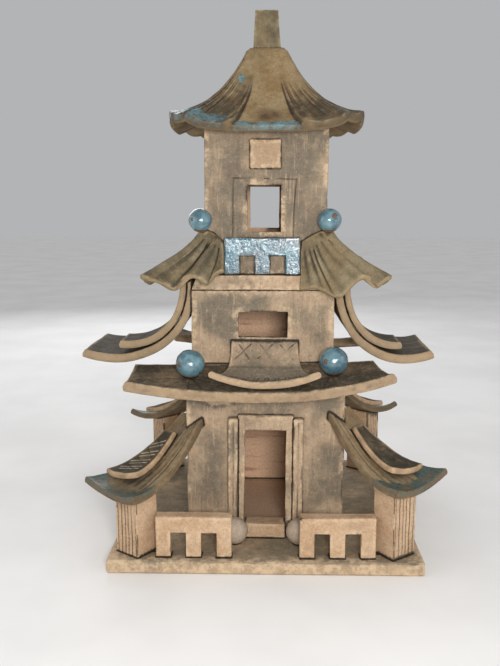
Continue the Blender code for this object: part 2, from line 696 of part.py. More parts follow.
def add_upper_wings():
    """One wing on each side, with a ball seated in it at the storey's front corner."""
    body = body_cutter("top_body", both_ways(TOP_HALF_X), TOP_HALF_Y, TOP_BASE - CUT_PAST, TOP_ROUGH_TOP)
    sides = (
        ("left", -1, UPPER_INNER_LEFT, UPPER_EAVE_LEFT, UPPER_BALLS[0]),
        ("right", 1, UPPER_INNER_RIGHT, UPPER_EAVE_RIGHT, UPPER_BALLS[1]),
    )
    for name, side, inner, eave, (x, y) in sides:
        centre = (x, y, UPPER_BALL_Z)
        ball = sphere_mesh("ball", UPPER_BALL_RADIUS)
        round_ball = add_part("upper_ball_" + name, ball, BLUE_GLAZE, centre)
        subtract(round_ball, body)
        socket = add_cutter("socket_" + name, sphere_mesh("socket", UPPER_BALL_RADIUS + 2 * GAP), centre)
        point = upper_wing_point(side, inner, eave)
        wing = sheet("upper_wing_" + name, point, UPPER_STEPS, UPPER_THICK, DARK_CLAY)
        subtract(wing, body, socket)


def add_roof():
    sheet("roof", roof_point, ROOF_STEPS, ROOF_THICK, DARK_CLAY, -1.0, hipped=True)
    height = FINIAL_TOP - ROOF_TOP_Z - GAP
    ratio = FINIAL_HIGH_HALF / FINIAL_LOW_HALF
    block = box_mesh("finial", (2 * FINIAL_LOW_HALF, 2 * FINIAL_LOW_HALF, height), (ratio, ratio))
    add_part("finial", block, CLAY, (0, 0, ROOF_TOP_Z + GAP + height / 2))


def sphere_mesh(name, radius):
    bm = bmesh.new()
    bmesh.ops.create_uvsphere(bm, u_segments=BALL_ROUND_STEPS, v_segments=BALL_HIGH_STEPS, radius=radius)
    return finish_mesh(name, bm)


def seated_ball(name, centre, radius, seat, normal, finish):
    """A clay ball with a flat pressed where it sits."""
    bm = bmesh.new()
    bm.from_mesh(sphere_mesh(name, radius))
    start = Vector(seat) - Vector(centre) + Vector(normal) * GAP
    cut = bmesh.ops.bisect_plane(
        bm, geom=bm.verts[:] + bm.edges[:] + bm.faces[:], plane_co=start, plane_no=normal, clear_inner=True
    )
    rim = [item for item in cut["geom_cut"] if isinstance(item, bmesh.types.BMEdge)]
    bmesh.ops.contextual_create(bm, geom=rim)
    bmesh.ops.recalc_face_normals(bm, faces=bm.faces)
    return add_part(name, finish_mesh(name, bm), finish, centre)


def add_seated_balls():
    names = ("left", "right")
    for name, (x, y) in zip(names, DOOR_BALLS):
        seat, normal = Vector((x, y, BASE_TOP)), Vector((0, 0, 1))
        centre = seat + normal * BALL_SINK * DOOR_BALL_RADIUS
        seated_ball("door_ball_" + name, centre, DOOR_BALL_RADIUS, seat, normal, GREY_CLAY)
    for name, (x, y) in zip(names, MIDDLE_BALLS):
        seat, normal = Vector((x, y, skirt_height(x, y))), slope_normal(skirt_height, x, y)
        centre = seat + normal * BALL_SINK * MIDDLE_BALL_RADIUS
        seated_ball("middle_ball_" + name, centre, MIDDLE_BALL_RADIUS, seat, normal, BLUE_GLAZE)


def main():
    add_base()
    add_ground_storey()
    add_front_rails()
    add_corners()
    add_skirts()
    add_middle_storey()
    add_side_roofs()
    add_top_storey()
    add_upper_wings()
    add_roof()
    add_seated_balls()


main()
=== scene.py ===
import math

import bmesh
import bpy
import numpy as np
from mathutils.bvhtree import BVHTree
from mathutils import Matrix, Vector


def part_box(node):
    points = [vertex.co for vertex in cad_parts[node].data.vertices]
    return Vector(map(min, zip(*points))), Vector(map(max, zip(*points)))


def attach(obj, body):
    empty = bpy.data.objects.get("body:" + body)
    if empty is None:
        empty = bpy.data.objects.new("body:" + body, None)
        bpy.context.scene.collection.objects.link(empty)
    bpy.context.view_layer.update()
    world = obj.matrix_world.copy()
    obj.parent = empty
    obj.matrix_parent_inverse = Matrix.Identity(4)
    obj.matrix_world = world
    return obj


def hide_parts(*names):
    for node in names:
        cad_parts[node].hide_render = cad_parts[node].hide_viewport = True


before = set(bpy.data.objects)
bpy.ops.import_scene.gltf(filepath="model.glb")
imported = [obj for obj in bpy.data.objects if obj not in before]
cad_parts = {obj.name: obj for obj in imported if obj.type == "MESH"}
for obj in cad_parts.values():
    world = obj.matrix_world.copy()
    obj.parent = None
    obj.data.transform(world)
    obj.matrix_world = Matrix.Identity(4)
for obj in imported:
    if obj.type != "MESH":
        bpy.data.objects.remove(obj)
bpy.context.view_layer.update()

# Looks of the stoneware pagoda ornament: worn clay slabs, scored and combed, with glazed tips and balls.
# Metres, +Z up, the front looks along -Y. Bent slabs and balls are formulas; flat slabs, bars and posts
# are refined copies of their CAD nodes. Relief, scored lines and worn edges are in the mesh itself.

MM = 0.001


# Noise and small mathematics


def lattice(i, j, k, seed):
    mixed = (i * 374761393 + j * 668265263 + k * 1274126177 + seed * 974634777) & 0xFFFFFFFF
    mixed = ((mixed ^ (mixed >> 13)) * 1103515245) & 0xFFFFFFFF
    return ((mixed ^ (mixed >> 16)) & 0xFFFFFF) / float(0xFFFFFF)


def noise3(points, scale, seed):
    """Smooth noise from -1 to 1 at points (..., 3); scale is cells per metre."""
    place = np.asarray(points, float) * scale + seed * 17.31
    cell = np.floor(place).astype(np.int64)
    part = place - cell
    part = part * part * (3 - 2 * part)
    total = 0.0
    for corner in range(8):
        step = (corner & 1, corner >> 1 & 1, corner >> 2 & 1)
        weight = 1.0
        for axis in range(3):
            weight = weight * (part[..., axis] if step[axis] else 1 - part[..., axis])
        total = total + weight * lattice(*(cell[..., axis] + step[axis] for axis in range(3)), seed)
    return 2 * total - 1


def cloud(points, scale, seed):
    """Three octaves of smooth noise."""
    total, size = 0.0, 1.0
    for octave in range(3):
        total = total + size * noise3(points, scale * 2**octave, seed + octave)
        size /= 2
    return total


def wave(position, frequency, seed):
    """Smooth noise along one number."""
    flat = np.zeros(np.shape(position) + (3,))
    flat[..., 0] = position
    return noise3(flat, frequency, seed)


def lerp(a, b, t):
    return a + (b - a) * t


def smooth(low, high, value):
    t = np.clip((value - low) / (high - low), 0, 1)
    return t * t * (3 - 2 * t)


def bump_at(value, middle, half):
    return np.exp(-(((value - middle) / half) ** 2))


def bezier(handles, t):
    weights = ((1 - t) ** 3, 3 * t * (1 - t) ** 2, 3 * t * t * (1 - t), t**3)
    return [sum(w * handle[i] for w, handle in zip(weights, handles)) for i in range(2)]


def eased(points, t):
    """Heights at places t between the given (place, height) pairs, with soft turns."""
    places, heights = zip(*points)
    spot = np.clip(np.searchsorted(places, t, side="right") - 1, 0, len(places) - 2)
    places, heights = np.array(places), np.array(heights)
    part = np.clip((t - places[spot]) / (places[spot + 1] - places[spot]), 0, 1)
    return lerp(heights[spot], heights[spot + 1], (1 - np.cos(np.pi * part)) / 2)


def unit(vectors):
    length = np.linalg.norm(vectors, axis=-1, keepdims=True)
    return vectors / np.maximum(length, 1e-12)


def stack(x, y, z):
    return np.stack(np.broadcast_arrays(x, y, z), axis=-1).astype(float)


def hand_warp(points):
    """The same slow wander for every piece, so that neighbours stay together; none at the foot."""
    lift = smooth(0.0, 0.02, points[..., 2])
    shift = stack(
        0.5 * MM * noise3(points, 14, 1) + 0.25 * MM * noise3(points, 45, 4),
        0.4 * MM * noise3(points, 14, 2) + 0.2 * MM * noise3(points, 45, 5),
        0.5 * MM * noise3(points, 14, 3) + 0.25 * MM * noise3(points, 45, 6),
    )
    return points + shift * lift[..., None]


# Mesh building


def add_object(name, data):
    obj = bpy.data.objects.new(name, data)
    bpy.context.scene.collection.objects.link(obj)
    return obj


def make_object(name, vertices, faces, marks):
    """marks is {attribute name: one value per vertex}."""
    mesh = bpy.data.meshes.new(name)
    mesh.from_pydata(vertices.tolist(), [], faces)
    mesh.validate()
    for key, values in marks.items():
        set_mark(mesh, key, values)
    if signed_volume(mesh) < 0:
        mesh.flip_normals()
    return add_object(name, mesh)


def read_all(items, key, kind, width):
    flat = np.zeros(len(items) * width, kind)
    items.foreach_get(key, flat)
    return flat.reshape(-1, width)


def positions(mesh):
    return read_all(mesh.vertices, "co", np.float32, 3).astype(float)


def vertex_normals(mesh):
    return read_all(mesh.vertex_normals, "vector", np.float32, 3).astype(float)


def set_positions(mesh, points):
    mesh.vertices.foreach_set("co", np.asarray(points, np.float32).ravel())
    mesh.update()


def signed_volume(mesh):
    mesh.calc_loop_triangles()
    a, b, c = positions(mesh)[read_all(mesh.loop_triangles, "vertices", np.int32, 3)].transpose(1, 0, 2)
    return float(np.einsum("ij,ij->i", a, np.cross(b, c)).sum())


def edge_ends(mesh):
    return read_all(mesh.edges, "vertices", np.int32, 2)


def halve(bm, edges):
    bmesh.ops.subdivide_edges(bm, edges=edges, cuts=1)
    bmesh.ops.triangulate(bm, faces=[f for f in bm.faces if len(f.verts) > 4])


def get_mark(mesh, key):
    layer = mesh.attributes.get(key)
    values = np.zeros(len(mesh.vertices), np.float32)
    if layer:
        layer.data.foreach_get("value", values)
    return values.astype(float)


def set_mark(mesh, key, values):
    layer = mesh.attributes.get(key) or mesh.attributes.new(key, "FLOAT", "POINT")
    layer.data.foreach_set("value", np.asarray(values, np.float32))


def neighbour_mean(values, ends, count):
    """Each vertex's mean over the vertices it shares an edge with."""
    total = np.zeros_like(values)
    np.add.at(total, ends[:, 0], values[ends[:, 1]])
    np.add.at(total, ends[:, 1], values[ends[:, 0]])
    return total / count


def steps(count, length, rounding):
    """Places from 0 to 1, closer together at both ends, where a slab's edge is rounded."""
    near = np.array([0, 0.12, 0.4, 0.72]) * rounding / length
    middle = np.linspace(rounding / length, 1 - rounding / length, count)
    return np.concatenate([near, middle, 1 - near[::-1]])


def run_length(points, axis):
    gap = np.linalg.norm(np.diff(points, axis=axis), axis=-1)
    start = np.zeros_like(gap[:1] if axis == 0 else gap[:, :1])
    return np.concatenate([start, np.cumsum(gap, axis=axis)], axis=axis)


def grid_normals(points, closed):
    if closed:
        wide = np.concatenate([points[-1:], points, points[:1]])
        along = (wide[2:] - wide[:-2]) / 2
    else:
        along = np.gradient(points, axis=0)
    normal = unit(np.cross(along, np.gradient(points, axis=1)))
    return normal if normal[..., 2].sum() > 0 else -normal


def rings(nu, nv, closed):
    """Border loops of the grid as lists of (i, j)."""
    if closed:
        return [[(i, 0) for i in range(nu)], [(i, nv - 1) for i in reversed(range(nu))]]
    loop = [(i, 0) for i in range(nu)] + [(nu - 1, j) for j in range(1, nv)]
    loop += [(i, nv - 1) for i in range(nu - 2, -1, -1)] + [(0, j) for j in range(nv - 2, 0, -1)]
    return [loop]


RIM_WIDTH = 0.9 * MM


def sheet(name, point, us, vs, thick, relief, side=1, rounding=1.4 * MM, closed=False, bulge=0.35 * MM):
    """A clay slab over (side 1) or under (side -1) the surface point(U, V), with worn round edges.

    relief(U, V, points, edge) gives (height, marks) of the top face; edge is the distance to the rim.
    """
    U, V = np.meshgrid(us, vs, indexing="ij")
    base = point(U, V)
    normal = grid_normals(base, closed)
    along, across = run_length(base, 0), run_length(base, 1)
    edge = np.minimum(across, across[:, -1:] - across)
    if not closed:
        edge = np.minimum(edge, np.minimum(along, along[-1:] - along))
    inset = rounding * (1 - np.sqrt(1 - np.clip(1 - edge / rounding, 0, 1) ** 2))
    height, marks = relief(U, V, base, edge)
    top = base + normal * ((thick if side > 0 else 0) - inset + height)[..., None]
    bottom = base + normal * ((0 if side > 0 else -thick) + inset)[..., None]
    nu, nv = U.shape
    count = nu * nv
    order = np.arange(count).reshape(nu, nv)
    here, there = (order, np.roll(order, -1, axis=0)) if closed else (order[:-1], order[1:])
    quads = np.stack([here[:, :-1], there[:, :-1], there[:, 1:], here[:, 1:]], axis=-1).reshape(-1, 4)
    faces = quads.tolist() + (quads[:, ::-1] + count).tolist()
    vertices = [top.reshape(-1, 3), bottom.reshape(-1, 3)]
    start = 2 * count
    rim_marks = {key: [] for key in marks}
    for loop in rings(nu, nv, closed):
        i, j = np.array(loop).T
        inner_i = np.clip(i, 0 if closed else 1, nu - 1 if closed else nu - 2)
        outward = unit(base[i, j] - base[inner_i, np.clip(j, 1, nv - 2)])
        vertices.append((top[i, j] + bottom[i, j]) / 2 + outward * bulge)
        size = len(loop)
        for n in range(size):
            m = (n + 1) % size
            top_a, top_b = int(order[loop[n]]), int(order[loop[m]])
            faces.append([top_b, top_a, start + n, start + m])
            faces.append([start + m, start + n, top_a + count, top_b + count])
        for key in marks:
            rim_marks[key].append(marks[key][i, j])
        start += size
    ring_size = start - 2 * count
    whole = {
        key: np.concatenate([values.ravel(), np.zeros(count), *rim_marks[key]])
        for key, values in marks.items()
    }
    rim = bump_at(edge, 0, RIM_WIDTH).ravel()
    whole["rim"] = np.concatenate([rim, rim, np.ones(ring_size)])
    # The under mark is 1 on the bottom face and 0.4 on the rim; the clay shader adds it to the wash as
    # painted shade on undersides.
    whole["under"] = np.concatenate([np.zeros(count), np.ones(count), np.full(ring_size, 0.4)])
    return make_object(name, hand_warp(np.concatenate(vertices)), faces, whole)


# Radians: flatter bends than the first are dissolved, sharper ones than the second are rounded
FLAT_BEND, SHARP_BEND = 0.02, 0.5
REFINING_TURNS = 10


def clay_copy(name, node, cell, rounding=0.7 * MM):
    """A CAD node's shape with worn edges, cut into cells fine enough for relief and stains."""
    bm = bmesh.new()
    bm.from_mesh(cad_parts[node].data)
    bmesh.ops.remove_doubles(bm, verts=bm.verts, dist=1e-6)
    bmesh.ops.dissolve_limit(bm, angle_limit=FLAT_BEND, verts=bm.verts, edges=bm.edges)
    bmesh.ops.triangulate(bm, faces=bm.faces)
    for _ in range(REFINING_TURNS):
        long = [e for e in bm.edges if e.calc_length() > cell]
        if long:
            halve(bm, long)
    sharp = [e for e in bm.edges if e.is_manifold and e.calc_face_angle() > SHARP_BEND]
    bmesh.ops.bevel(
        bm, geom=sharp, offset=rounding, segments=2, affect="EDGES", profile=0.5, clamp_overlap=True
    )
    mesh = bpy.data.meshes.new(name)
    bm.to_mesh(mesh)
    bm.free()
    points, normals = positions(mesh), vertex_normals(mesh)
    lift = smooth(0.0, 0.004, points[:, 2])
    swell = (0.2 * MM * cloud(points, 60, 11) + 0.07 * MM * cloud(points, 330, 12)) * lift
    set_positions(mesh, hand_warp(points + normals * swell[:, None]))
    return add_object(name, mesh)


# Scored lines


def to_line(points, line):
    """Distance from each point to a polyline."""
    best = np.full(len(points), 1.0)
    line = np.asarray(line, float)
    for a, b in zip(line[:-1], line[1:]):
        along = b - a
        t = np.clip((points - a) @ along / max(along @ along, 1e-12), 0, 1)
        best = np.minimum(best, np.linalg.norm(points - a - t[:, None] * along, axis=1))
    return best


BURR = 0.12


def score(obj, lines, width, depth, fine=1, jitter=0.25 * MM, seed=0, key="line"):
    """Cuts grooves along polylines, with a little clay pushed up beside them, on a mesh refined there."""
    rough = []
    for number, line in enumerate(lines):
        line = np.asarray(line, float)
        whole = np.linspace(0, len(line) - 1, max(3, int(6 * (len(line) - 1))))
        spot = np.minimum(whole.astype(int), len(line) - 2)
        dense = lerp(line[spot], line[spot + 1], (whole - spot)[:, None])
        for axis in range(3):
            dense[:, axis] += jitter * noise3(dense, 130, seed + number + 7 * axis)
        rough.append(dense)
    bm = bmesh.new()
    bm.from_mesh(obj.data)
    for turn in range(fine):
        points = np.array([v.co for v in bm.verts])
        near = np.zeros(len(points), bool)
        for line in rough:
            near |= to_line(points, line) < (2.6 - 0.8 * turn) * width
        halve(bm, [e for e in bm.edges if near[e.verts[0].index] or near[e.verts[1].index]])
        bm.verts.index_update()
    bm.to_mesh(obj.data)
    bm.free()
    mesh = obj.data
    points, normals = positions(mesh), vertex_normals(mesh)
    mark = get_mark(mesh, key)
    push = np.zeros(len(points))
    for line in rough:
        distance = to_line(points, line)
        cut, ridge = bump_at(distance, 0, 0.55 * width), bump_at(distance, 1.2 * width, 0.5 * width)
        push = np.where(cut > 0.02, np.minimum(push, -depth * cut), push + BURR * depth * ridge * (cut < 0.5))
        mark = np.maximum(mark, bump_at(distance, 0, 0.62 * width))
    set_positions(mesh, points + normals * push[:, None])
    set_mark(mesh, key, mark)


# How far the surface bends, in 1/m, where a mark starts, and how much more makes it full
WORN_FROM, WORN_SPAN = 40, 170
CREASED_FROM, CREASED_SPAN = 30, 200


def wear(obj, scale=1.0, creases=True):
    """Marks worn edges and hollows from how the surface bends."""
    mesh = obj.data
    points, normals, ends = positions(mesh), vertex_normals(mesh), edge_ends(mesh)
    count = np.maximum(np.bincount(ends.ravel(), minlength=len(points)), 1).astype(float)
    total = np.zeros(len(points))
    for here, there in ((0, 1), (1, 0)):
        gap = points[ends[:, there]] - points[ends[:, here]]
        bend = 2 * np.einsum("ij,ij->i", gap, normals[ends[:, here]])
        np.add.at(total, ends[:, here], bend / np.maximum(np.einsum("ij,ij->i", gap, gap), 1e-10))
    bend = total / count
    for _ in range(2):
        bend = lerp(bend, neighbour_mean(bend, ends, count), 0.6)
    set_mark(mesh, "worn", np.clip((-bend * scale - WORN_FROM) / WORN_SPAN, 0, 1))
    if creases:
        set_mark(mesh, "creased", np.clip((bend * scale - CREASED_FROM) / CREASED_SPAN, 0, 1))


# Where pieces meet, the wash has gathered in the joint


def node_trees():
    """For each CAD node, warped like the pieces: its search tree and its box."""
    trees = {}
    for name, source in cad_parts.items():
        mesh = source.data
        mesh.calc_loop_triangles()
        corners = [tuple(triangle.vertices) for triangle in mesh.loop_triangles]
        points = hand_warp(positions(mesh))
        tree = BVHTree.FromPolygons(points.tolist(), corners)
        trees[name] = (tree, points.min(axis=0), points.max(axis=0))
    return trees


TREES = node_trees()
REACH = 3 * MM


def to_neighbour(points, node):
    """Distance from each point to the nearest other piece, up to REACH."""
    nearest = np.full(len(points), REACH)
    for name, (tree, low, high) in TREES.items():
        if name == node:
            continue
        inside = np.all((points > low - REACH) & (points < high + REACH), axis=1)
        for index in np.flatnonzero(inside):
            found = tree.find_nearest(points[index], REACH)
            if found[3] is not None and found[3] < nearest[index]:
                nearest[index] = found[3]
    return nearest


# Pieces that the photo hardly shows get coarser joints
HARDLY_SEEN = ("back", "rear", "left_wall", "right_wall", "middle_floor")
# Edges are halved where one end is this near a neighbour, and not where both ends touch it
NEAR, TOUCHING = 2 * MM, 0.6 * MM


def mark_joints(obj, node):
    """The mark "joint" is 1 against a neighbouring piece and fades within REACH of it."""
    mesh = obj.data
    shortest, turns = (2.4 * MM, 1) if any(word in node for word in HARDLY_SEEN) else (1.35 * MM, 3)
    for _ in range(turns):
        points, ends = positions(mesh), edge_ends(mesh)
        nearest = to_neighbour(points, node)
        long = np.linalg.norm(points[ends[:, 0]] - points[ends[:, 1]], axis=1) > shortest
        near = nearest[ends].min(axis=1) < NEAR
        seen = nearest[ends].max(axis=1) > TOUCHING
        chosen = np.flatnonzero(long & near & seen)
        if not len(chosen):
            break
        bm = bmesh.new()
        bm.from_mesh(mesh)
        bm.edges.ensure_lookup_table()
        halve(bm, [bm.edges[int(i)] for i in chosen])
        bm.to_mesh(mesh)
        bm.free()
    nearest = to_neighbour(positions(mesh), node)
    set_mark(mesh, "joint", np.clip(1 - nearest / REACH, 0, 1))


# Materials


def srgb(colour):
    """From 0 to 255 per channel to what a shader takes."""
    linear = []
    for value in colour:
        value /= 255
        linear.append(value / 12.92 if value <= 0.04045 else ((value + 0.055) / 1.055) ** 2.4)
    return (*linear, 1.0)


DARK, BROWN, CHALK, RUST = (38, 31, 25), (104, 70, 40), (226, 212, 186), (160, 90, 58)


class Tree:
    """Short names for the shader nodes that the clays and glazes are made of."""

    def __init__(self, name):
        self.material = bpy.data.materials.new(name)
        self.material.use_nodes = True
        self.nodes = self.material.node_tree.nodes
        self.links = self.material.node_tree.links
        self.shader = self.nodes["Principled BSDF"]
        self.place = self.nodes.new("ShaderNodeTexCoord").outputs["Object"]

    def put(self, socket, value):
        """A node's output is linked, a number or a colour from 0 to 255 is set."""
        if isinstance(value, bpy.types.NodeSocket):
            self.links.new(value, socket)
        else:
            socket.default_value = srgb(value) if isinstance(value, tuple) else value

    def stretched(self, scale):
        node = self.nodes.new("ShaderNodeMapping")
        self.links.new(self.place, node.inputs["Vector"])
        node.inputs["Scale"].default_value = scale
        return node.outputs["Vector"]

    def noise(self, scale, detail=3, rough=0.6, place=None, twist=0.0):
        node = self.nodes.new("ShaderNodeTexNoise")
        self.links.new(place or self.place, node.inputs["Vector"])
        node.inputs["Scale"].default_value = scale
        node.inputs["Detail"].default_value = detail
        node.inputs["Roughness"].default_value = rough
        node.inputs["Distortion"].default_value = twist
        return node.outputs["Fac"]

    def mark(self, name):
        node = self.nodes.new("ShaderNodeAttribute")
        node.attribute_name = name
        return node.outputs["Fac"]

    def math(self, kind, a, b):
        node = self.nodes.new("ShaderNodeMath")
        node.operation = kind
        self.put(node.inputs[0], a)
        self.put(node.inputs[1], b)
        return node.outputs[0]

    def times(self, a, b):
        return self.math("MULTIPLY", a, b)

    def plus(self, a, b):
        return self.math("ADD", a, b)

    def spread(self, value, amount):
        """Noise from 0 to 1 as an offset either way, times an amount."""
        return self.times(self.math("SUBTRACT", value, 0.5), amount)

    def ranged(self, value, low, high, start=0.0, end=1.0):
        node = self.nodes.new("ShaderNodeMapRange")
        node.interpolation_type = "SMOOTHSTEP"
        self.put(node.inputs["Value"], value)
        for key, number in (("From Min", low), ("From Max", high), ("To Min", start), ("To Max", end)):
            node.inputs[key].default_value = number
        return node.outputs["Result"]

    def mix(self, share, a, b, data="RGBA", blend="MIX"):
        node = self.nodes.new("ShaderNodeMix")
        node.data_type = data
        node.blend_type = blend
        for key, value in (("Factor", share), ("A", a), ("B", b)):
            self.put(node.inputs[key], value)
        return node.outputs["Result"]

    def tint(self, colour, other, value, low, high, most):
        """More of the other colour, up to most, as value goes from low to high."""
        return self.mix(self.ranged(value, low, high, 0.0, most), colour, other)

    def shade(self, colour, light):
        """The colour times a grey."""
        return self.mix(1, colour, light, blend="MULTIPLY")

    def blend(self, share, a, b):
        return self.mix(share, a, b, data="FLOAT")

    def bump(self, height, strength):
        node = self.nodes.new("ShaderNodeBump")
        node.inputs["Strength"].default_value = strength
        node.inputs["Distance"].default_value = 0.001
        self.links.new(height, node.inputs["Height"])
        self.links.new(node.outputs["Normal"], self.shader.inputs["Normal"])


def clay(name, tan, warm, wash, pale, smoke, streak, glaze, edge, raw):
    """Bare clay with a rubbed-in dark wash, painted shade on undersides and painted shadow lines where
    marked; glaze gives (thick, milky, brown) where the mark says so.
    """
    t = Tree(name)
    broad, middle, fine = t.noise(24, 6, 0.66), t.noise(115, 6, 0.7), t.noise(520, 5, 0.72)
    colour = t.mix(t.ranged(t.noise(46, 6, 0.66), 0.40, 0.62), tan, warm)
    colour = t.mix(t.times(t.mark("brown"), t.ranged(middle, 0.3, 0.6, 0.5, 1.0)), colour, BROWN)
    rubbed = t.plus(t.plus(t.times(broad, 0.9), t.times(middle, 0.45)), t.times(fine, 0.25))
    # The under mark adds painted shade: undersides come out darker.
    rubbed = t.plus(t.plus(rubbed, t.spread(t.mark("wash"), 0.7)), t.times(t.mark("under"), 0.4))
    colour = t.tint(colour, wash, rubbed, 0.66, 1.12, smoke)
    colour = t.tint(colour, wash, t.noise(190, 6, 0.75), 0.48, 0.74, 0.34)
    colour = t.tint(colour, pale, t.noise(135, 6, 0.75), 0.48, 0.74, 0.30)
    if streak:
        for across, along, low, tone in ((260, 22, 0.50, wash), (340, 34, 0.54, pale)):
            lines = t.noise(1.0, 5, 0.65, t.stretched((across, across, along)))
            colour = t.tint(colour, tone, lines, low, 0.72, 0.5 * streak)
    # Inner faces show raw clay, their own colour, made extra pale as painted light so that the dim inside
    # looks lit.
    if raw:
        band = t.noise(1.0, 5, 0.6, t.stretched((16, 16, 150)))
        colour = t.mix(t.times(t.mark("raw"), 0.9), colour, t.tint(raw, RUST, band, 0.54, 0.70, 0.6))
    colour = t.shade(colour, t.ranged(fine, 0.32, 0.68, 0.84, 1.12))
    colour = t.tint(colour, DARK, t.noise(900), 0.63, 0.71, 0.6)
    colour = t.tint(colour, pale, t.noise(700), 0.64, 0.72, 0.6)
    # This mark darkens towards DARK: real dirt and stains in places, painted shade and painted shadow lines
    # in others.
    colour = t.mix(t.times(t.mark("dirt_and_shade"), t.ranged(middle, 0.3, 0.6, 0.45, 0.95)), colour, DARK)
    colour = t.mix(t.times(t.mark("creased"), 0.7), colour, DARK)
    rubbed = t.ranged(t.noise(150, 5, 0.7), 0.42, 0.60, 0.0, 0.7)
    colour = t.mix(t.times(t.mark("worn"), rubbed), colour, pale)
    rim = t.times(t.mark("rim"), t.ranged(t.noise(110, 5), 0.36, 0.62, 0.5, 0.9))
    colour = t.mix(rim, colour, t.shade(edge or pale, t.ranged(middle, 0.3, 0.7, 0.8, 1.05)))
    joint = t.ranged(t.plus(t.mark("joint"), t.spread(t.noise(240, 5, 0.7), 0.7)), 0.35, 0.80, 0.0, 0.95)
    joint = t.times(joint, t.ranged(t.mark("joint"), 0.02, 0.3))
    joint = t.times(joint, t.ranged(t.mark("raw"), 0.2, 0.7, 1.0, 0.35))
    colour = t.mix(joint, colour, DARK)
    colour = t.mix(t.times(t.mark("line"), t.ranged(middle, 0.25, 0.6, 0.75, 1.0)), colour, DARK)
    colour = t.mix(t.times(t.mark("chalk"), t.ranged(middle, 0.35, 0.6, 0.3, 0.9)), colour, CHALK)
    rough = t.ranged(middle, 0.3, 0.7, 0.72, 0.92)
    height = t.plus(t.times(fine, 0.5), t.times(t.noise(250, 6, 0.7), 0.8))
    if glaze:
        thick, milky, brown = glaze
        cover = t.ranged(t.plus(t.mark("glaze"), t.spread(t.noise(120, 6, 0.7), 1.3)), 0.40, 0.64)
        for key, low, high, least in (("line", 0.2, 0.9, 0.2), ("rim", 0.35, 0.95, 0.8)):
            cover = t.times(cover, t.ranged(t.mark(key), low, high, 1.0, least))
        milk = t.plus(t.math("SUBTRACT", t.noise(75, 6, 0.7), 0.5), t.mark("milky"))
        tone = t.mix(t.ranged(milk, 0.02, 0.34), thick, milky)
        tone = t.tint(tone, brown, t.noise(105, 6, 0.72), 0.46, 0.62, 0.85)
        tone = t.mix(t.times(t.mark("rim"), t.ranged(middle, 0.4, 0.6, 0.1, 0.7)), tone, brown)
        tone = t.shade(tone, t.ranged(fine, 0.32, 0.68, 0.72, 1.2))
        # The same mark darkens the glaze: dirt, and painted shade where it stands for shade.
        tone = t.mix(t.times(t.mark("dirt_and_shade"), 0.6), tone, DARK)
        colour = t.mix(cover, colour, tone)
        rough = t.blend(cover, rough, t.ranged(middle, 0.3, 0.7, 0.2, 0.5))
        height = t.times(height, t.math("SUBTRACT", 1.0, t.times(cover, 0.7)))
    t.bump(height, 0.7)
    t.links.new(colour, t.shader.inputs["Base Color"])
    t.links.new(rough, t.shader.inputs["Roughness"])
    t.shader.inputs["Specular IOR Level"].default_value = 0.3
    return t.material


def blue_glaze(name, thick, thin, break_through, speckle_and_glint, speckle_and_glint_share):
    """Glossy glaze, milky where thick and brown where it runs thin over edges and dents."""
    t = Tree(name)
    colour = t.mix(t.ranged(t.noise(75, 6, 0.65, twist=0.5), 0.38, 0.62), thick, thin)
    # Pale speckles: mottling on the balls, painted glints on the rail.
    colour = t.tint(colour, speckle_and_glint, t.noise(420, 5, 0.7), 0.55, 0.70, speckle_and_glint_share)
    colour = t.tint(colour, (70, 84, 86), t.noise(260, 5, 0.7), 0.60, 0.75, 0.5)
    bare = t.ranged(t.plus(t.mark("bare"), t.spread(t.noise(230, 5, 0.7), 0.7)), 0.42, 0.66)
    colour = t.mix(t.times(t.mark("worn"), 0.3), colour, break_through)
    colour = t.mix(bare, colour, break_through)
    colour = t.mix(t.times(t.mark("joint"), 0.7), colour, (58, 48, 40))
    colour = t.mix(t.times(t.mark("line"), 0.85), colour, (58, 44, 34))
    t.links.new(colour, t.shader.inputs["Base Color"])
    rough = t.blend(bare, t.ranged(t.noise(150, 3, 0.55), 0.3, 0.7, 0.06, 0.16), 0.7)
    t.links.new(rough, t.shader.inputs["Roughness"])
    t.bump(t.noise(260, 5, 0.65), 0.5)
    for key, value in (("Specular IOR Level", 0.6), ("Coat Weight", 0.5), ("Coat Roughness", 0.05)):
        t.shader.inputs[key].default_value = value
    return t.material


# The last of these is the inside's raw clay, made extra pale as painted light.
PALE, DUN, SAND, SOOT, LIT_ROSE = (208, 182, 150), (164, 144, 118), (168, 150, 120), (94, 89, 78), (232, 192, 160)
WING_GLAZE = ((72, 88, 82), (114, 134, 128), (108, 84, 56))
ROOF_GLAZE = ((48, 68, 70), (100, 130, 134), (84, 68, 46))
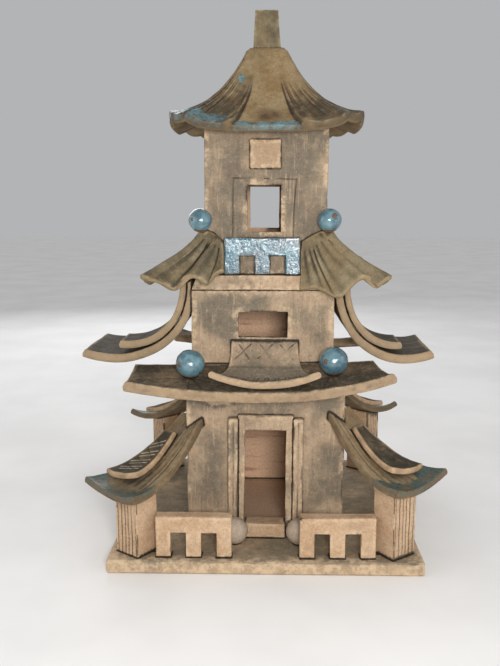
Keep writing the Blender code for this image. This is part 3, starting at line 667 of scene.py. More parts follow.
# Clays: tan, warm, wash and pale tones, how smoky, how streaky, then glaze (thick, milky, brown), rim, inside
# (raw clay, painted extra pale as if lit)
CLAYS = {
    "bare": ((194, 165, 135), (182, 150, 119), (134, 113, 90), PALE, 0.5, 0, None, None, None),
    "base": ((186, 162, 132), (168, 144, 116), (118, 109, 91), PALE, 0.9, 0, None, None, LIT_ROSE),
    "wall": ((176, 154, 128), (174, 148, 122), SOOT, PALE, 0.8, 0.7, None, (180, 154, 123), LIT_ROSE),
    "skirt": ((148, 128, 102), (134, 112, 86), (60, 54, 44), PALE, 0.95, 0, None, (166, 142, 113), None),
    "roof": ((142, 128, 100), (130, 112, 82), (74, 67, 52), SAND, 0.85, 0.3, None, (150, 130, 100), None),
    "side": ((154, 134, 106), (140, 118, 90), (62, 56, 46), DUN, 0.95, 0, None, (162, 139, 110), None),
    "wing": ((150, 131, 101), (136, 113, 82), (70, 63, 49), DUN, 0.9, 0.3, WING_GLAZE, (104, 86, 62), None),
    "combed": ((150, 130, 96), (132, 106, 70), (66, 58, 44), DUN, 0.9, 0, ROOF_GLAZE, (104, 88, 66), None),
    "strip": ((112, 98, 76), (98, 84, 62), (54, 49, 40), DUN, 0.9, 0, None, (196, 164, 130), None),
    "grey": ((180, 162, 144), (168, 152, 134), (128, 118, 104), PALE, 0.7, 0, None, None, None),
}
# Glazes: thick, thin, where clay breaks through, speckles (the rail's white ones are painted glints), and how
# many speckles
GLAZES = {
    "ball": ((66, 96, 108), (100, 134, 144), (104, 72, 48), (124, 152, 160), 0.3),
    "rail": ((58, 86, 98), (96, 130, 142), (104, 80, 60), (214, 228, 234), 0.8),
}
MATERIALS = {name: clay(name + "_clay", *row) for name, row in CLAYS.items()}
MATERIALS.update({name: blue_glaze(name + "_glaze", *row) for name, row in GLAZES.items()})


def place(obj, node, slot, material):
    """Hands a finished piece to the frame in its node's place."""
    mesh = obj.data
    mesh.materials.clear()
    mesh.materials.append(MATERIALS[material])
    mesh.shade_smooth()
    mark_joints(obj, node)
    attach(obj, "root")
    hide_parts(node)


def blot(points, spots):
    """Soft round stains: each spot is (x, z, half width, half height) in mm, then its strength."""
    total = np.zeros(len(points))
    for x, z, wide, high, strength in spots:
        away = ((points[:, 0] - x * MM) / (wide * MM)) ** 2 + ((points[:, 2] - z * MM) / (high * MM)) ** 2
        total += strength * np.exp(-away)
    return total


# Surfaces, the same formulas as the CAD's


WING_START, WING_BEND, WING_LENGTH, WING_SPAN = -14 * MM, -8 * MM, 83 * MM, 91 * MM
WING_EAVE_Z, WING_RISE = 68 * MM, 47 * MM
WING_ROOT_INNER, WING_ROOT_OUTER, WING_INNER, WING_CURL = 11 * MM, 19 * MM, 32 * MM, 6 * MM
SLAB = 6 * MM
# Corners: name, signs of x and y, lift, the eave's outer half, its curl, the strip's shift outwards
CORNERS = (
    ("front_left", -1, -1, 0.0, 45 * MM, 4 * MM, 2.5 * MM),
    ("front_right", 1, -1, 7.5 * MM, 45 * MM, 7 * MM, -2 * MM),
    ("rear_left", -1, 1, 0.0, 39 * MM, 9 * MM, -2 * MM),
    ("rear_right", 1, 1, 7.5 * MM, 34 * MM, 12 * MM, -4 * MM),
)


def wing_height(x, y, outer, eave, outer_curl):
    fall = 1 - (x - WING_BEND) / WING_SPAN
    outside = y * outer > 0
    half, curl = np.where(outside, eave, WING_INNER), np.where(outside, outer_curl, WING_CURL)
    rise = curl * np.maximum(0, x / WING_LENGTH) ** 2 * (y / half) ** 2
    return WING_EAVE_Z + WING_RISE * fall * fall + rise


def corner_place(points, sign_x, sign_y, lift):
    """From a corner wing's own frame, x along the diagonal, to the row's."""
    turn = math.atan2(sign_y, sign_x)
    x = points[..., 0] * math.cos(turn) - points[..., 1] * math.sin(turn)
    y = points[..., 0] * math.sin(turn) + points[..., 1] * math.cos(turn)
    return stack(x + sign_x * 73 * MM, y + sign_y * 73 * MM, points[..., 2] + lift)


def wing_surface(corner):
    _, sign_x, sign_y, lift, eave, curl, _ = corner
    outer = -sign_x * sign_y

    def point(u, v):
        x = lerp(WING_START, WING_LENGTH, u)
        across = 2 * v - 1
        outside = across * outer > 0
        root, end = np.where(outside, WING_ROOT_OUTER, WING_ROOT_INNER), np.where(outside, eave, WING_INNER)
        y = across * lerp(root, end, u)
        return corner_place(stack(x, y, wing_height(x, y, outer, eave, curl)), sign_x, sign_y, lift)

    return point


def strip_surface(corner):
    _, sign_x, sign_y, lift, eave, curl, shift = corner
    outer = -sign_x * sign_y

    def height(x, y):
        return wing_height(x, y, outer, eave, curl)

    def point(u, v):
        across = (2 * v - 1) * outer
        x = lerp(3 * MM, (61 + 4 * across + 4 * (1 - across**2)) * MM, u)
        share = (across + 1) / 2
        y = outer * (lerp(lerp(3, 16, share), lerp(-8, 32, share), u) * MM + shift)
        step = 0.1 * MM
        slope_x = (height(x + step, y) - height(x - step, y)) / (2 * step)
        slope_y = (height(x, y + step) - height(x, y - step)) / (2 * step)
        normal = unit(stack(-slope_x, -slope_y, 1))
        clear = SLAB + 0.5 * MM + lerp(6, 1.5, share) * MM * u**3
        return corner_place(stack(x, y, height(x, y)) + normal * clear[..., None], sign_x, sign_y, lift)

    return point


def skirt_height(x, y):
    part = np.clip((y + 118.5 * MM) / (52 * MM), 0, 1)
    curl, reach = np.where(x < 0, 12, 16.5) * MM, np.where(x < 0, 121, 109) * MM
    rise = curl * np.abs(x / reach) ** 2.2 * (1 - 0.85 * part)
    return 161 * MM + 15 * MM * part**1.5 + rise + 0.018 * x


def skirt_surface(back):
    def point(u, v):
        y = lerp(-118.5 * MM, -66.5 * MM, v)
        x = lerp(-121 * MM, 109 * MM - 10 * MM * v, u)
        sign = -1 if back else 1
        return stack(sign * x, sign * y, skirt_height(x, y))

    return point


AWNING = ((-66.4 * MM, 197.5 * MM), (-73 * MM, 182 * MM), (-88 * MM, 168 * MM), (-112 * MM, 168.5 * MM))


def awning_surface(u, v):
    y, z = bezier(AWNING, v)
    across = 2 * u - 1
    half = lerp(30.5 * MM, 47 * MM, v**3)
    return stack(across * half - 1 * MM, y, z + 11 * MM * across**2 * v**4)


SIDE = ((0.4 * MM, 251 * MM), (0.4 * MM, 187 * MM), (60 * MM, 164.5 * MM), (103.5 * MM, 182 * MM))
SIDE_FRONT, SIDE_BACK = -66 * MM, 65.2 * MM
SIDES = (("left", -1, 63.5 * MM, 1.03, 0.065), ("right", 1, 62 * MM, 0.90, 0.11))


def side_surface(side, start, stretch, flare, upper):
    """A side sheet's underside; towards the rear its outer end flares out and droops."""

    def point(u, v):
        t = u * 0.75 if upper else u
        away, z = bezier(SIDE, t)
        before, after = bezier(SIDE, t - 1e-4), bezier(SIDE, t + 1e-4)
        run, rise = after[0] - before[0], after[1] - before[1]
        length = np.hypot(run, rise)
        clear = (7.8 + 6 * u**3) * MM if upper else 0.0
        y = lerp(-65 * MM, -12 * MM, v) if upper else lerp(SIDE_FRONT, SIDE_BACK, v)
        rear = (y - SIDE_FRONT) / (SIDE_BACK - SIDE_FRONT)
        away = away * stretch * (1 + flare * rear * t) - rise / length * clear
        return stack(side * (start + away), y, z - 9 * MM * rear * t**2 + run / length * clear)

    return point


EAVE_LEFT = ((0.0, 0.259), (0.2, 0.249), (0.36, 0.256), (0.6, 0.246), (0.86, 0.254), (1.0, 0.256))
EAVE_RIGHT = ((0.0, 0.244), (0.12, 0.246), (0.41, 0.239), (0.7, 0.256), (0.85, 0.249), (1.0, 0.256))
TOP_X, TOP_Y = 55.5 * MM, 57 * MM


def upper_surface(side):
    inner, eave = (39.6 * MM, EAVE_LEFT) if side < 0 else (32.5 * MM, EAVE_RIGHT)

    def point(u, v):
        spot = np.minimum(u, 1 - u)
        part = np.clip(spot / 0.3, 0, 1)
        swing = np.sin(part * np.pi / 2)
        front_top = stack(lerp(inner, TOP_X, part), TOP_Y, lerp(287 * MM, 297 * MM, swing))
        front_low = stack(lerp(inner, 106 * MM, part), lerp(73 * MM, 100 * MM, swing), eased(eave, part))
        rest = np.clip((spot - 0.3) / 0.2, 0, 1)
        flute = 1 - np.cos(rest * np.pi * 4)
        side_top = stack(TOP_X, TOP_Y * (1 - rest), 297 * MM)
        side_low = stack(
            106 * MM - 7 * MM * np.sin(rest * np.pi / 2),
            100 * MM * (1 - rest),
            lerp(eave[-1][1], 0.250, rest) - 3 * MM * flute * (1 - rest / 2),
        )
        front = (spot < 0.3)[..., None]
        top, low = np.where(front, front_top, side_top), np.where(front, front_low, side_low)
        out, down = v**1.25, v**0.8
        y = lerp(top[..., 1], low[..., 1], out)
        return stack(
            side * lerp(top[..., 0], low[..., 0], out),
            np.where(u > 0.5, y, -y),
            lerp(top[..., 2], low[..., 2], down),
        )

    return point


ROOF = ((16.5 * MM, 462.5 * MM), (27 * MM, 438 * MM), (42 * MM, 410 * MM), (70 * MM, 397 * MM))
ROOF_FLAT = 0.12


def roof_parts(u):
    """Side number and place q along it, from -1 to 1, for u running once round the roof."""
    spot = (u * 4) % 4
    side = np.minimum(spot.astype(int), 3)
    return side, 2 * (spot - side) - 1


def roof_surface(u, v):
    side, q = roof_parts(u)
    limit = (1 + np.abs(q) ** 8) ** 0.125
    ahead, aside = 1 / limit, q / limit
    across = np.select([side == 0, side == 1, side == 2], [aside, ahead, -aside], -ahead)
    along = np.select([side == 0, side == 1, side == 2], [-ahead, aside, ahead], -aside)
    t = lerp(0.06, 1.0, v)
    near = (np.abs(q) / limit / 0.917) ** 4
    out = np.clip((t - ROOF_FLAT) / (1 - ROOF_FLAT), 0, 1)
    half = np.where(t <= ROOF_FLAT, ROOF[0][0] * t / ROOF_FLAT, bezier(ROOF, out)[0]) / 0.917
    x = across * half * lerp(1, lerp(1.166, 1.0, near), out)
    y = along * half * lerp(1, lerp(1.06, 1.114, near), out)
    side_on = np.clip((np.abs(across) - np.abs(along)) * 4, 0, 1)
    sag = lerp(10.5 * MM, 4 * MM, side_on) * (1 - near)
    tip = np.exp(-(((near**0.25) - 0.62) / 0.20) ** 2)
    z = bezier(ROOF, out)[1] - sag * out**1.5 + 6.5 * MM * side_on * tip * t**6
    return stack(x, y, z)


# Pieces made of curved slabs


def on(surface, thick, *spots):
    """Points on a slab's top face at the given (u, v) places, for a scored line."""
    spots = np.array(spots, float)
    u, v = spots[:, 0], spots[:, 1]
    step = 1e-3
    here = surface(u, v)
    along = surface(u + step, v) - surface(u - step, v)
    across = surface(u, v + step) - surface(u, v - step)
    normal = unit(np.cross(along, across))
    normal = np.where(normal[:, 2:] < 0, -normal, normal)
    return hand_warp(here + normal * thick)


def lower_wing_relief(outer, wash_depth):
    def relief(u, v, points, edge):
        across = (2 * v - 1) * outer
        inner_band = smooth(0.62, 0.70, -across) * smooth(0.0, 0.1, u)
        groove = bump_at(across, -0.62, 0.035) * smooth(0.02, 0.12, u) * (1 - smooth(0.8, 0.95, u))
        dish = -0.5 * MM * (1 - across**2) * smooth(0.3, 0.9, u)
        lip = 0.7 * MM * bump_at(edge, 0, 3 * MM) * smooth(0.55, 0.9, u)
        lump = 0.3 * MM * cloud(points, 110, 21)
        height = 0.6 * MM * inner_band - 0.8 * MM * groove + dish + lip + lump
        glaze = smooth(0.68, 0.98, u + 0.10 * np.abs(across) ** 1.5 + 0.12 * noise3(points, 45, 23))
        brushed = wave(across + 0.05 * noise3(points, 40, 25), 26, 26) * (1 - smooth(0.7, 0.85, u))
        height = height + 0.25 * MM * brushed
        wash = wash_depth - 0.25 * inner_band + 0.25 * noise3(points, 50, 24) + 0.35 * brushed
        # The groove's dark is a scored line; the patch near u 0.7 is a painted shadow under the lifted tip of
        # the strip.
        dirt_and_shade = 0.85 * groove + 0.6 * bump_at(u, 0.70, 0.07) * bump_at(across, 0.25, 0.55)
        return height, {"glaze": glaze, "wash": wash, "dirt_and_shade": np.clip(dirt_and_shade, 0, 1)}

    return relief


FAN = (0.10, 0.235, 0.37, 0.51, 0.65, 0.79, 0.90)


def add_lower_wings():
    for corner in CORNERS:
        side, sign_x, sign_y = corner[:3]
        name = "lower_wing_" + side
        surface = wing_surface(corner)
        wide, long = (78, 50) if sign_y < 0 else (50, 34)
        us, vs = steps(wide, 100 * MM, 1.4 * MM), steps(long, 56 * MM, 1.4 * MM)
        relief = lower_wing_relief(-sign_x * sign_y, 0.35 if side == "front_right" else 0.70)
        obj = sheet("clay_" + name, surface, us, vs, SLAB, relief)
        wear(obj)
        lines = []
        for v in FAN:
            spots = ((lerp(0.74, 0.975, share), v + 0.02 * (share - 0.5)) for share in (0, 0.5, 1))
            lines.append(on(surface, SLAB, *spots))
        score(obj, lines, 0.8 * MM, 0.6 * MM, seed=3)
        place(obj, name, "wing_clay", "wing")
        add_strip(corner)


def strip_relief(u, v, points, edge):
    lip = 0.5 * MM * bump_at(edge, 0, 2.5 * MM)
    wash = 0.85 - 0.5 * bump_at(edge, 0, 1.6 * MM) + 0.25 * noise3(points, 70, 31)
    return lip + 0.2 * MM * cloud(points, 140, 33), {"wash": wash}


def add_strip(corner):
    name, crossed = "wing_strip_" + corner[0], corner[1] < 0
    surface = strip_surface(corner)
    thick = 5 * MM
    us, vs = steps(56, 72 * MM, 1.2 * MM), steps(24, 30 * MM, 1.2 * MM)
    obj = sheet("clay_" + name, surface, us, vs, thick, strip_relief, rounding=1.2 * MM)
    wear(obj)
    lines, slashes = [], []
    for number in range(4):
        u = 0.20 + 0.18 * number
        if crossed:
            lines.append(on(surface, thick, (u - 0.05, 0.18), (u + 0.07, 0.74)))
            slashes.append(on(surface, thick, (u + 0.05, 0.12), (u - 0.05, 0.80)))
            slashes.append(on(surface, thick, (u + 0.10, 0.20), (u + 0.02, 0.78)))
        else:
            lines.append(on(surface, thick, (u + 0.05, 0.38), (u + 0.08, 0.62)))
            lines.append(on(surface, thick, (u + 0.12, 0.60), (u + 0.06, 0.44)))
    score(obj, lines, 0.7 * MM, 0.6 * MM, seed=9)
    if crossed:
        score(obj, slashes, 0.7 * MM, 0.3 * MM, jitter=0.1 * MM, seed=10, key="chalk")
    place(obj, name, "wing_clay", "strip")


def skirt_relief(u, v, points, edge):
    lump = 0.45 * MM * cloud(points, 45, 41) + 0.2 * MM * cloud(points, 170, 42)
    lip = 0.6 * MM * bump_at(v, 0.06, 0.07)
    wash = 0.80 - 0.35 * bump_at(v, 0, 0.05) + 0.25 * noise3(points, 40, 43)
    # Painted shade: darker towards the wall, under the side sheets and the awning; the cloudy part is stains.
    dirt_and_shade = 0.5 * smooth(0.55, 1.0, v) + 0.25 * np.clip(cloud(points, 60, 44), 0, 1)
    return lump + lip, {"wash": wash, "dirt_and_shade": dirt_and_shade}


# Rays scored round a ball on the skirt: (shift along the skirt, place across it) of each outer end
RAYS = ((-0.150, 0.46), (-0.085, 0.10), (0.0, 0.07), (0.055, 0.12), (0.10, 0.40))


def add_skirts():
    for name, back in (("front", False), ("back", True)):
        surface = skirt_surface(back)
        us, vs = steps(116, 230 * MM, 1.8 * MM), steps(26, 54 * MM, 1.8 * MM)
        obj = sheet(
            "clay_skirt_" + name, surface, us, vs, 8.5 * MM, skirt_relief, side=-1,
            rounding=1.8 * MM, bulge=0.7 * MM,
        )
        cut_away(obj)
        wear(obj)
        lines = []
        for ball, reach in ((0.235, 1), (0.80, -1)):
            for shift, end in RAYS:
                lines.append(on(surface, 0, (ball + 0.20 * reach * shift, 0.52), (ball + reach * shift, end)))
        score(obj, lines, 1.1 * MM, 0.8 * MM, seed=13)
        place(obj, "skirt_roof_" + name, "roof_clay", "skirt")


def cut_away(obj):
    """Takes away what of a skirt would lie inside the storey's walls, by pushing it to the wall's face."""
    mesh = obj.data
    points = positions(mesh)
    inside = (points[:, 0] > -68.4 * MM) & (points[:, 0] < 62.4 * MM) & (np.abs(points[:, 1]) < 66.4 * MM)
    points[inside, 1] = np.sign(points[inside, 1]) * 66.4 * MM
    set_positions(mesh, points)


def awning_relief(u, v, points, edge):
    across = 2 * u - 1
    crease = bump_at(v, 0.52, 0.03)
    lip = 0.8 * MM * bump_at(v, 0.965, 0.03)
    lump = 0.35 * MM * cloud(points, 60, 51)
    wash = 0.65 + 0.4 * smooth(0.45, 0.75, v) * (1 - smooth(0.93, 0.97, v)) + 0.2 * noise3(points, 70, 52)
    dirt_and_shade = 0.35 * crease + 0.5 * bump_at(v, 0.90, 0.05) * (1 - np.abs(across) ** 3)
    return lump + lip - 0.5 * MM * crease, {"wash": wash, "dirt_and_shade": dirt_and_shade}


def add_awning():
    us, vs = steps(62, 80 * MM, 1.6 * MM), steps(44, 62 * MM, 1.6 * MM)
    obj = sheet("clay_awning", awning_surface, us, vs, 5.5 * MM, awning_relief, side=-1, rounding=1.6 * MM)
    wear(obj)
    lines = []
    for left, right in ((0.08, 0.30), (0.40, 0.62), (0.70, 0.93)):
        lines.append(on(awning_surface, 0, (left, 0.34), (right, 0.07)))
        lines.append(on(awning_surface, 0, (left + 0.04, 0.08), (right - 0.02, 0.36)))
    for number in range(7):
        u = 0.16 + 0.115 * number
        lines.append(on(awning_surface, 0, (u, 0.80), (u - 0.015, 0.88)))
        lines.append(on(awning_surface, 0, (u + 0.04, 0.795), (u + 0.025, 0.885)))
    score(obj, lines, 0.9 * MM, 0.8 * MM, seed=17)
    place(obj, "awning", "stained_clay", "wall")


def side_relief(u, v, points, edge):
    comb = wave(points[..., 1], 420, 61) * 0.6 + wave(points[..., 1], 900, 62) * 0.4
    combed = smooth(0.45, 0.75, u) * smooth(1 * MM, 5 * MM, edge)
    front = v * 131 * MM
    lip = 1.0 * MM * bump_at(front, 2.2 * MM, 2 * MM) * smooth(0.2, 0.6, u)
    height = 0.45 * MM * comb * combed + 0.35 * MM * cloud(points, 50, 63) + lip
    # Painted shadow: a dark band just behind the raised front lip.
    lip_shadow = bump_at(front, 6 * MM, 2.4 * MM) * smooth(0.35, 0.75, u)
    wash = 0.50 + 0.6 * combed - 0.5 * bump_at(front, 0, 3 * MM) + 0.2 * noise3(points, 40, 64)
    dirt_and_shade = 0.45 * combed * smooth(0.1, 0.7, -comb) + 0.5 * lip_shadow
    return height, {"wash": wash, "dirt_and_shade": np.clip(dirt_and_shade, 0, 1)}


WALL_FACE, WALL_FACE_TOP = -68.3 * MM, 257 * MM


def add_side_roofs():
    for name, side, start, stretch, flare in SIDES:
        for layer, upper, thick, counts, sizes in (
            ("lower", False, 7.2 * MM, (60, 72), (135, 131)),
            ("upper", True, 6.2 * MM, (60, 34), (100, 53)),
        ):
            us, vs = (steps(count, size * MM, 1.6 * MM) for count, size in zip(counts, sizes))
            surface = side_surface(side, start, stretch, flare, upper)
            obj = sheet(
                f"clay_side_{layer}_{name}", surface, us, vs, thick, side_relief,
                rounding=1.7 * MM, bulge=0.6 * MM,
            )
            if name == "left" and not upper:
                points = positions(obj.data)
                beside = points[:, 2] < WALL_FACE_TOP
                points[:, 0] = np.where(beside, np.minimum(points[:, 0], WALL_FACE), points[:, 0])
                set_positions(obj.data, points)
            wear(obj)
            place(obj, f"side_roof_{layer}_{name}", "roof_clay", "side")


# Flutes of the upper wings: (place along the sheet, depth)
REAR_FLUTES = ((0.34, 0.8), (0.40, 1.0), (0.46, 0.8))
FLUTES = {
    -1: ((0.055, 1.0), (0.105, 0.8), (0.150, 1.0), (0.200, 0.9), (0.250, 0.8), *REAR_FLUTES),
    1: ((0.035, 0.9), (0.075, 1.0), (0.115, 0.8), (0.155, 1.0), (0.195, 0.8), (0.240, 1.0), *REAR_FLUTES),
}


def upper_relief(side):
    """Flutes pressed down the sheet, each with a scored line in its hollow."""

    def relief(u, v, points, edge):
        spot = np.minimum(u, 1 - u)
        fold = np.zeros_like(u)
        for flute, weight in FLUTES[side]:
            fold += weight * bump_at(spot, flute, 0.011)
        reach = smooth(0.10, 0.35, v)
        lump = 0.3 * MM * cloud(points, 70, 71)
        lip = 0.9 * MM * smooth(0.86, 0.99, v) * (0.4 + 0.6 * np.cos(spot * 90))
        height = -1.0 * MM * fold * reach + lump + lip
        wash = (0.78 if side < 0 else 0.35) + 0.2 * fold * reach
        wash = wash + 0.25 * noise3(points, 45, 72) - 0.15 * smooth(0.93, 0.99, v)
        tip = bump_at(spot, 0.3, 0.035) * smooth(0.75, 1.0, v)
        dirt_and_shade = 0.3 * fold * reach + 0.6 * tip
        return height, {"wash": wash, "dirt_and_shade": np.clip(dirt_and_shade, 0, 1)}

    return relief


def add_upper_wings():
    thick = 5 * MM
    along, near = np.linspace(0, 1, 240), steps(4, 0.02, 0.008) * 0.02
    us = np.concatenate([near, along[(along > 0.022) & (along < 0.978)], 1 - 0.02 + near])
    vs = steps(26, 66 * MM, 1.5 * MM)
    for name, side in (("left", -1), ("right", 1)):
        surface = upper_surface(side)
        obj = sheet("clay_upper_wing_" + name, surface, us, vs, thick, upper_relief(side), bulge=0.5 * MM)
        wear(obj)
        lines = []
        for spot, _ in FLUTES[side]:
            start = 0.16 + 0.5 * abs(wave(np.array(spot), 31, 5)) * 0.4
            for u in (spot, 1 - spot):
                lines.append(on(surface, thick, *((u, v) for v in (start, 0.45, 0.68, 0.88))))
        score(obj, lines, 0.9 * MM, 0.9 * MM, seed=23)
        place(obj, "upper_wing_" + name, "roof_clay", "roof")


def roof_relief(u, v, points, edge):
    """Three petals to a side: a smooth middle one and combed ones beside it, each side's rim different."""
    side, q = roof_parts(u)
    away, front = np.abs(q), side == 0
    flank = smooth(0.32, 0.36, away)
    seam = bump_at(away, 0.335, 0.018) * smooth(0.42, 0.60, v)
    comb = wave(u + 0.012 * noise3(points, 30, 81), 330, 82) * 0.65 + wave(u, 700, 83) * 0.45
    comb = comb * flank * smooth(0.36, 0.6, v) * (1 - smooth(0.90, 0.95, v)) * smooth(0.0, 0.06, 1.02 - away)
    hip = bump_at(away, 0.975, 0.02) * smooth(0.15, 0.3, v) * (1 - front * (q > 0))
    left_rim = (1 - smooth(-0.46, -0.40, q)) * front + (side == 3) * smooth(0.3, 0.5, q)
    right_rim = smooth(0.84, 0.92, q) * front
    middle_rim = (1 - flank) * front
    other = ~front & ~((side == 3) & (q > 0.3))
    start = np.select([left_rim > 0.5, middle_rim > 0.5, other], [0.875, 0.93, 0.925], 0.915)
    share = np.where(other, 0.55 + 0.4 * noise3(points, 25, 88), left_rim + middle_rim + 0.6 * right_rim)
    glaze = smooth(-0.02, 0.02, v - start + 0.018 * noise3(points, 60, 85)) * np.clip(share, 0, 1)
    lump = bump_at(q, -0.37, 0.05) * front * smooth(0.88, 0.97, v)
    lump = lump + bump_at(q, 0.42, 0.06) * front * smooth(0.86, 0.97, v)
    drip = bump_at(points[..., 0], -23 * MM, 3.2 * MM) * bump_at(points[..., 2], 433 * MM, 4.5 * MM)
    drip = drip * (points[..., 1] < 0)
    height = 1.6 * MM * flank * smooth(0.55, 0.95, v) - 1.5 * MM * seam - 0.9 * MM * hip + 1.2 * MM * lump
    height = height + 0.9 * MM * smooth(0.90, 0.96, v) + 0.9 * MM * comb + 0.4 * MM * cloud(points, 60, 84)
    petal = (1 - flank) * smooth(0.42, 0.55, v) * (1 - smooth(0.80, 0.88, v))
    smudge = (1 - flank) * bump_at(v, 0.84, 0.07) * smooth(-0.3, 0.4, noise3(points, 60, 87))
    wash = 0.42 + 0.4 * flank * smooth(0.35, 0.9, v) - 0.35 * flank * smooth(0.0, 0.5, comb) - 0.55 * petal
    wash = wash + 0.25 * noise3(points, 40, 86) - 0.5 * lump
    # Painted shadow lines along the seams beside the middle petal and down the hips; the combed grooves and
    # the smudge are stains.
    dirt_and_shade = 0.95 * seam + 0.9 * hip + 1.1 * np.clip(-comb, 0, 1) + 0.6 * smudge
    brown = flank * smooth(0.2, 0.6, v) * np.clip(0.3 + 0.7 * noise3(points, 45, 89) + 0.3 * (q > 0), 0, 1)
    brown = np.maximum(brown, 0.8 * smudge)
    milky = 0.35 * middle_rim + 0.1 * left_rim + 0.1 + 0.4 * drip
    glaze = np.maximum(glaze * (1 - lump), 1.2 * drip)
    flecks = smooth(0.1, 0.4, comb) * smooth(-0.2, 0.4, noise3(points, 40, 90))
    glaze = np.maximum(glaze, 0.95 * flank * smooth(0.45, 0.75, v) * flecks)
    return height, {"glaze": glaze, "wash": wash, "dirt_and_shade": np.clip(dirt_and_shade, 0, 1), "brown": brown, "milky": milky}


def add_roof():
    us = np.arange(460) / 460
    vs = np.concatenate([np.linspace(0, 0.3, 7)[:-1], 0.3 + 0.7 * steps(28, 70 * MM, 1.5 * MM)])
    obj = sheet(
        "clay_roof", roof_surface, us, vs, 6 * MM, roof_relief, side=-1,
        rounding=1.5 * MM, closed=True, bulge=0.6 * MM,
    )
    wear(obj)
    place(obj, "roof", "combed_roof_clay", "combed")


# Pieces made of flat slabs


def mark_wall(obj, wash, seed, spots=()):
    points = positions(obj.data)
    value = wash + 0.35 * noise3(points, 22, seed + 1) + 0.2 * noise3(points, 60, seed + 2)
    set_mark(obj.data, "wash", value + blot(points, spots))


# Each storey's wash, and the stains on its front wall as blot() takes them
STOREYS = {
    "ground": (0.52, (
        (-52, 146, 20, 10, 0.7), (56, 142, 14, 14, 0.5), (-48, 80, 12, 40, 0.35), (50, 52, 16, 18, 0.45),
        (0, 146, 60, 8, 0.3),
    )),
    "middle": (0.4, (
        (-42, 222, 18, 20, 1.1), (-30, 205, 8, 14, 0.4), (-6, 231, 8, 8, 0.7), (52, 205, 8, 20, 0.4),
    )),
    "top": (0.62, (
        (28, 362, 6, 6, 0.8), (-30, 340, 14, 40, 0.35), (35, 350, 14, 30, 0.35), (0, 348, 22, 6, 0.35),
    )),
}
INWARD = {"front": (0, 1), "back": (0, -1), "left": (1, 0), "right": (-1, 0)}
# The frame scored round the third storey's window, in mm
WINDOW_LINES = (
    ((-30, -57, 344), (0, -57, 343.5), (28, -57, 343)),
    ((-29.5, -57, 344), (-30, -57, 318), (-30.5, -57, 291)),
    ((27.5, -57, 343), (25, -57, 318), (24.5, -57, 291)),
)


def add_roll(obj):
    """A roll of clay smeared along the top of the front wall, under the skirt."""
    points, normals = positions(obj.data), vertex_normals(obj.data)
    low = 152 * MM - 15 * MM * bump_at(points[:, 0], -43 * MM, 24 * MM)
    low = low - 1.5 * MM * wave(points[:, 0], 70, 131)
    roll = smooth(-0.8 * MM, 1.2 * MM, points[:, 2] - low) * smooth(0.8, 0.95, -normals[:, 1])
    points[:, 1] -= (2.2 * MM + 0.6 * MM * noise3(points, 120, 132)) * roll
    set_positions(obj.data, points)
    set_mark(obj.data, "wash", get_mark(obj.data, "wash") * (1 - roll) + 0.4 * roll)
    # Painted shadow: a dark line just under the roll, left of the middle.
    near_left = 1 - smooth(-20 * MM, 0.0, points[:, 0])
    set_mark(obj.data, "dirt_and_shade", 0.9 * bump_at(points[:, 2], low - 1.2 * MM, 0.9 * MM) * near_left)


def add_walls():
    for number, (storey, (wash, spots)) in enumerate(STOREYS.items()):
        for face, (inward_x, inward_y) in INWARD.items():
            node, front = f"{storey}_{face}_wall", face == "front"
            cell = (3.6 if node == "ground_front_wall" else 4.5 if front else 8) * MM
            obj = clay_copy("clay_" + node, node, cell, 0.5 * MM)
            mark_wall(obj, wash, 100 + 10 * number, spots if front else ())
            points, normals = positions(obj.data), vertex_normals(obj.data)
            set_mark(obj.data, "raw", smooth(0.6, 0.9, normals[:, 0] * inward_x + normals[:, 1] * inward_y))
            # Painted shade: the reveals of the openings in front walls are darkened as if in shadow.
            shaded_reveal = (np.abs(normals[:, 1]) < 0.4) & (np.abs(points[:, 0]) < 26 * MM)
            set_mark(obj.data, "dirt_and_shade", 0.55 * shaded_reveal * front)
            if node == "ground_front_wall":
                add_roll(obj)
            wear(obj, creases=False)
            if node == "top_front_wall":
                lines = [hand_warp(np.array(line) * MM) for line in WINDOW_LINES]
                score(obj, lines, 0.7 * MM, 0.6 * MM, fine=2, jitter=0.3 * MM)
            place(obj, node, "stained_clay", "wall")


def finish_base(mesh):
    """The wash lies on the base's top, raw clay painted extra pale as if lit shows indoors, and the front
    edge bulges.
    """
    points = positions(mesh)
    across = np.abs(points[:, 0])
    top = smooth(9 * MM, 12 * MM, points[:, 2]) * smooth(0, 8 * MM, 140 * MM - across)
    set_mark(mesh, "wash", get_mark(mesh, "wash") * 0.5 + 0.5 * top)
    indoors = smooth(0, 3 * MM, 62 * MM - across) * smooth(0, 3 * MM, 66 * MM - np.abs(points[:, 1]))
    set_mark(mesh, "raw", 0.75 * indoors * top)
    front = smooth(-150 * MM, -152 * MM, points[:, 1]) * smooth(0.0, 60 * MM, 120 * MM - across)
    points[:, 1] -= 1.8 * MM * front * (0.5 + 0.5 * wave(points[:, 0], 22, 140))
    set_positions(mesh, points)


# Slabs, fences, door pieces, tile and finial: (node, cell in mm, slot, material, wash)
FLAT_PIECES = (
    ("base_slab", 9, "bare_clay", "base", 0.5),
    ("middle_floor_slab", 8, "stained_clay", "wall", 0.5),
    ("top_floor_slab", 8, "stained_clay", "wall", 0.35),
    ("door_frame", 3, "stained_clay", "wall", 0.5),
    ("door_jamb_left", 3, "stained_clay", "wall", 0.55),
    ("door_jamb_right", 3, "stained_clay", "wall", 0.5),
    ("door_sill", 3, "bare_clay", "bare", 0.55),
    ("front_rail_left", 3, "bare_clay", "bare", 0.15),
    ("front_rail_right", 3, "bare_clay", "bare", 0.2),
    ("square_tile", 3, "bare_clay", "bare", 0.8),
    ("finial", 3, "stained_clay", "roof", 0.45),
)


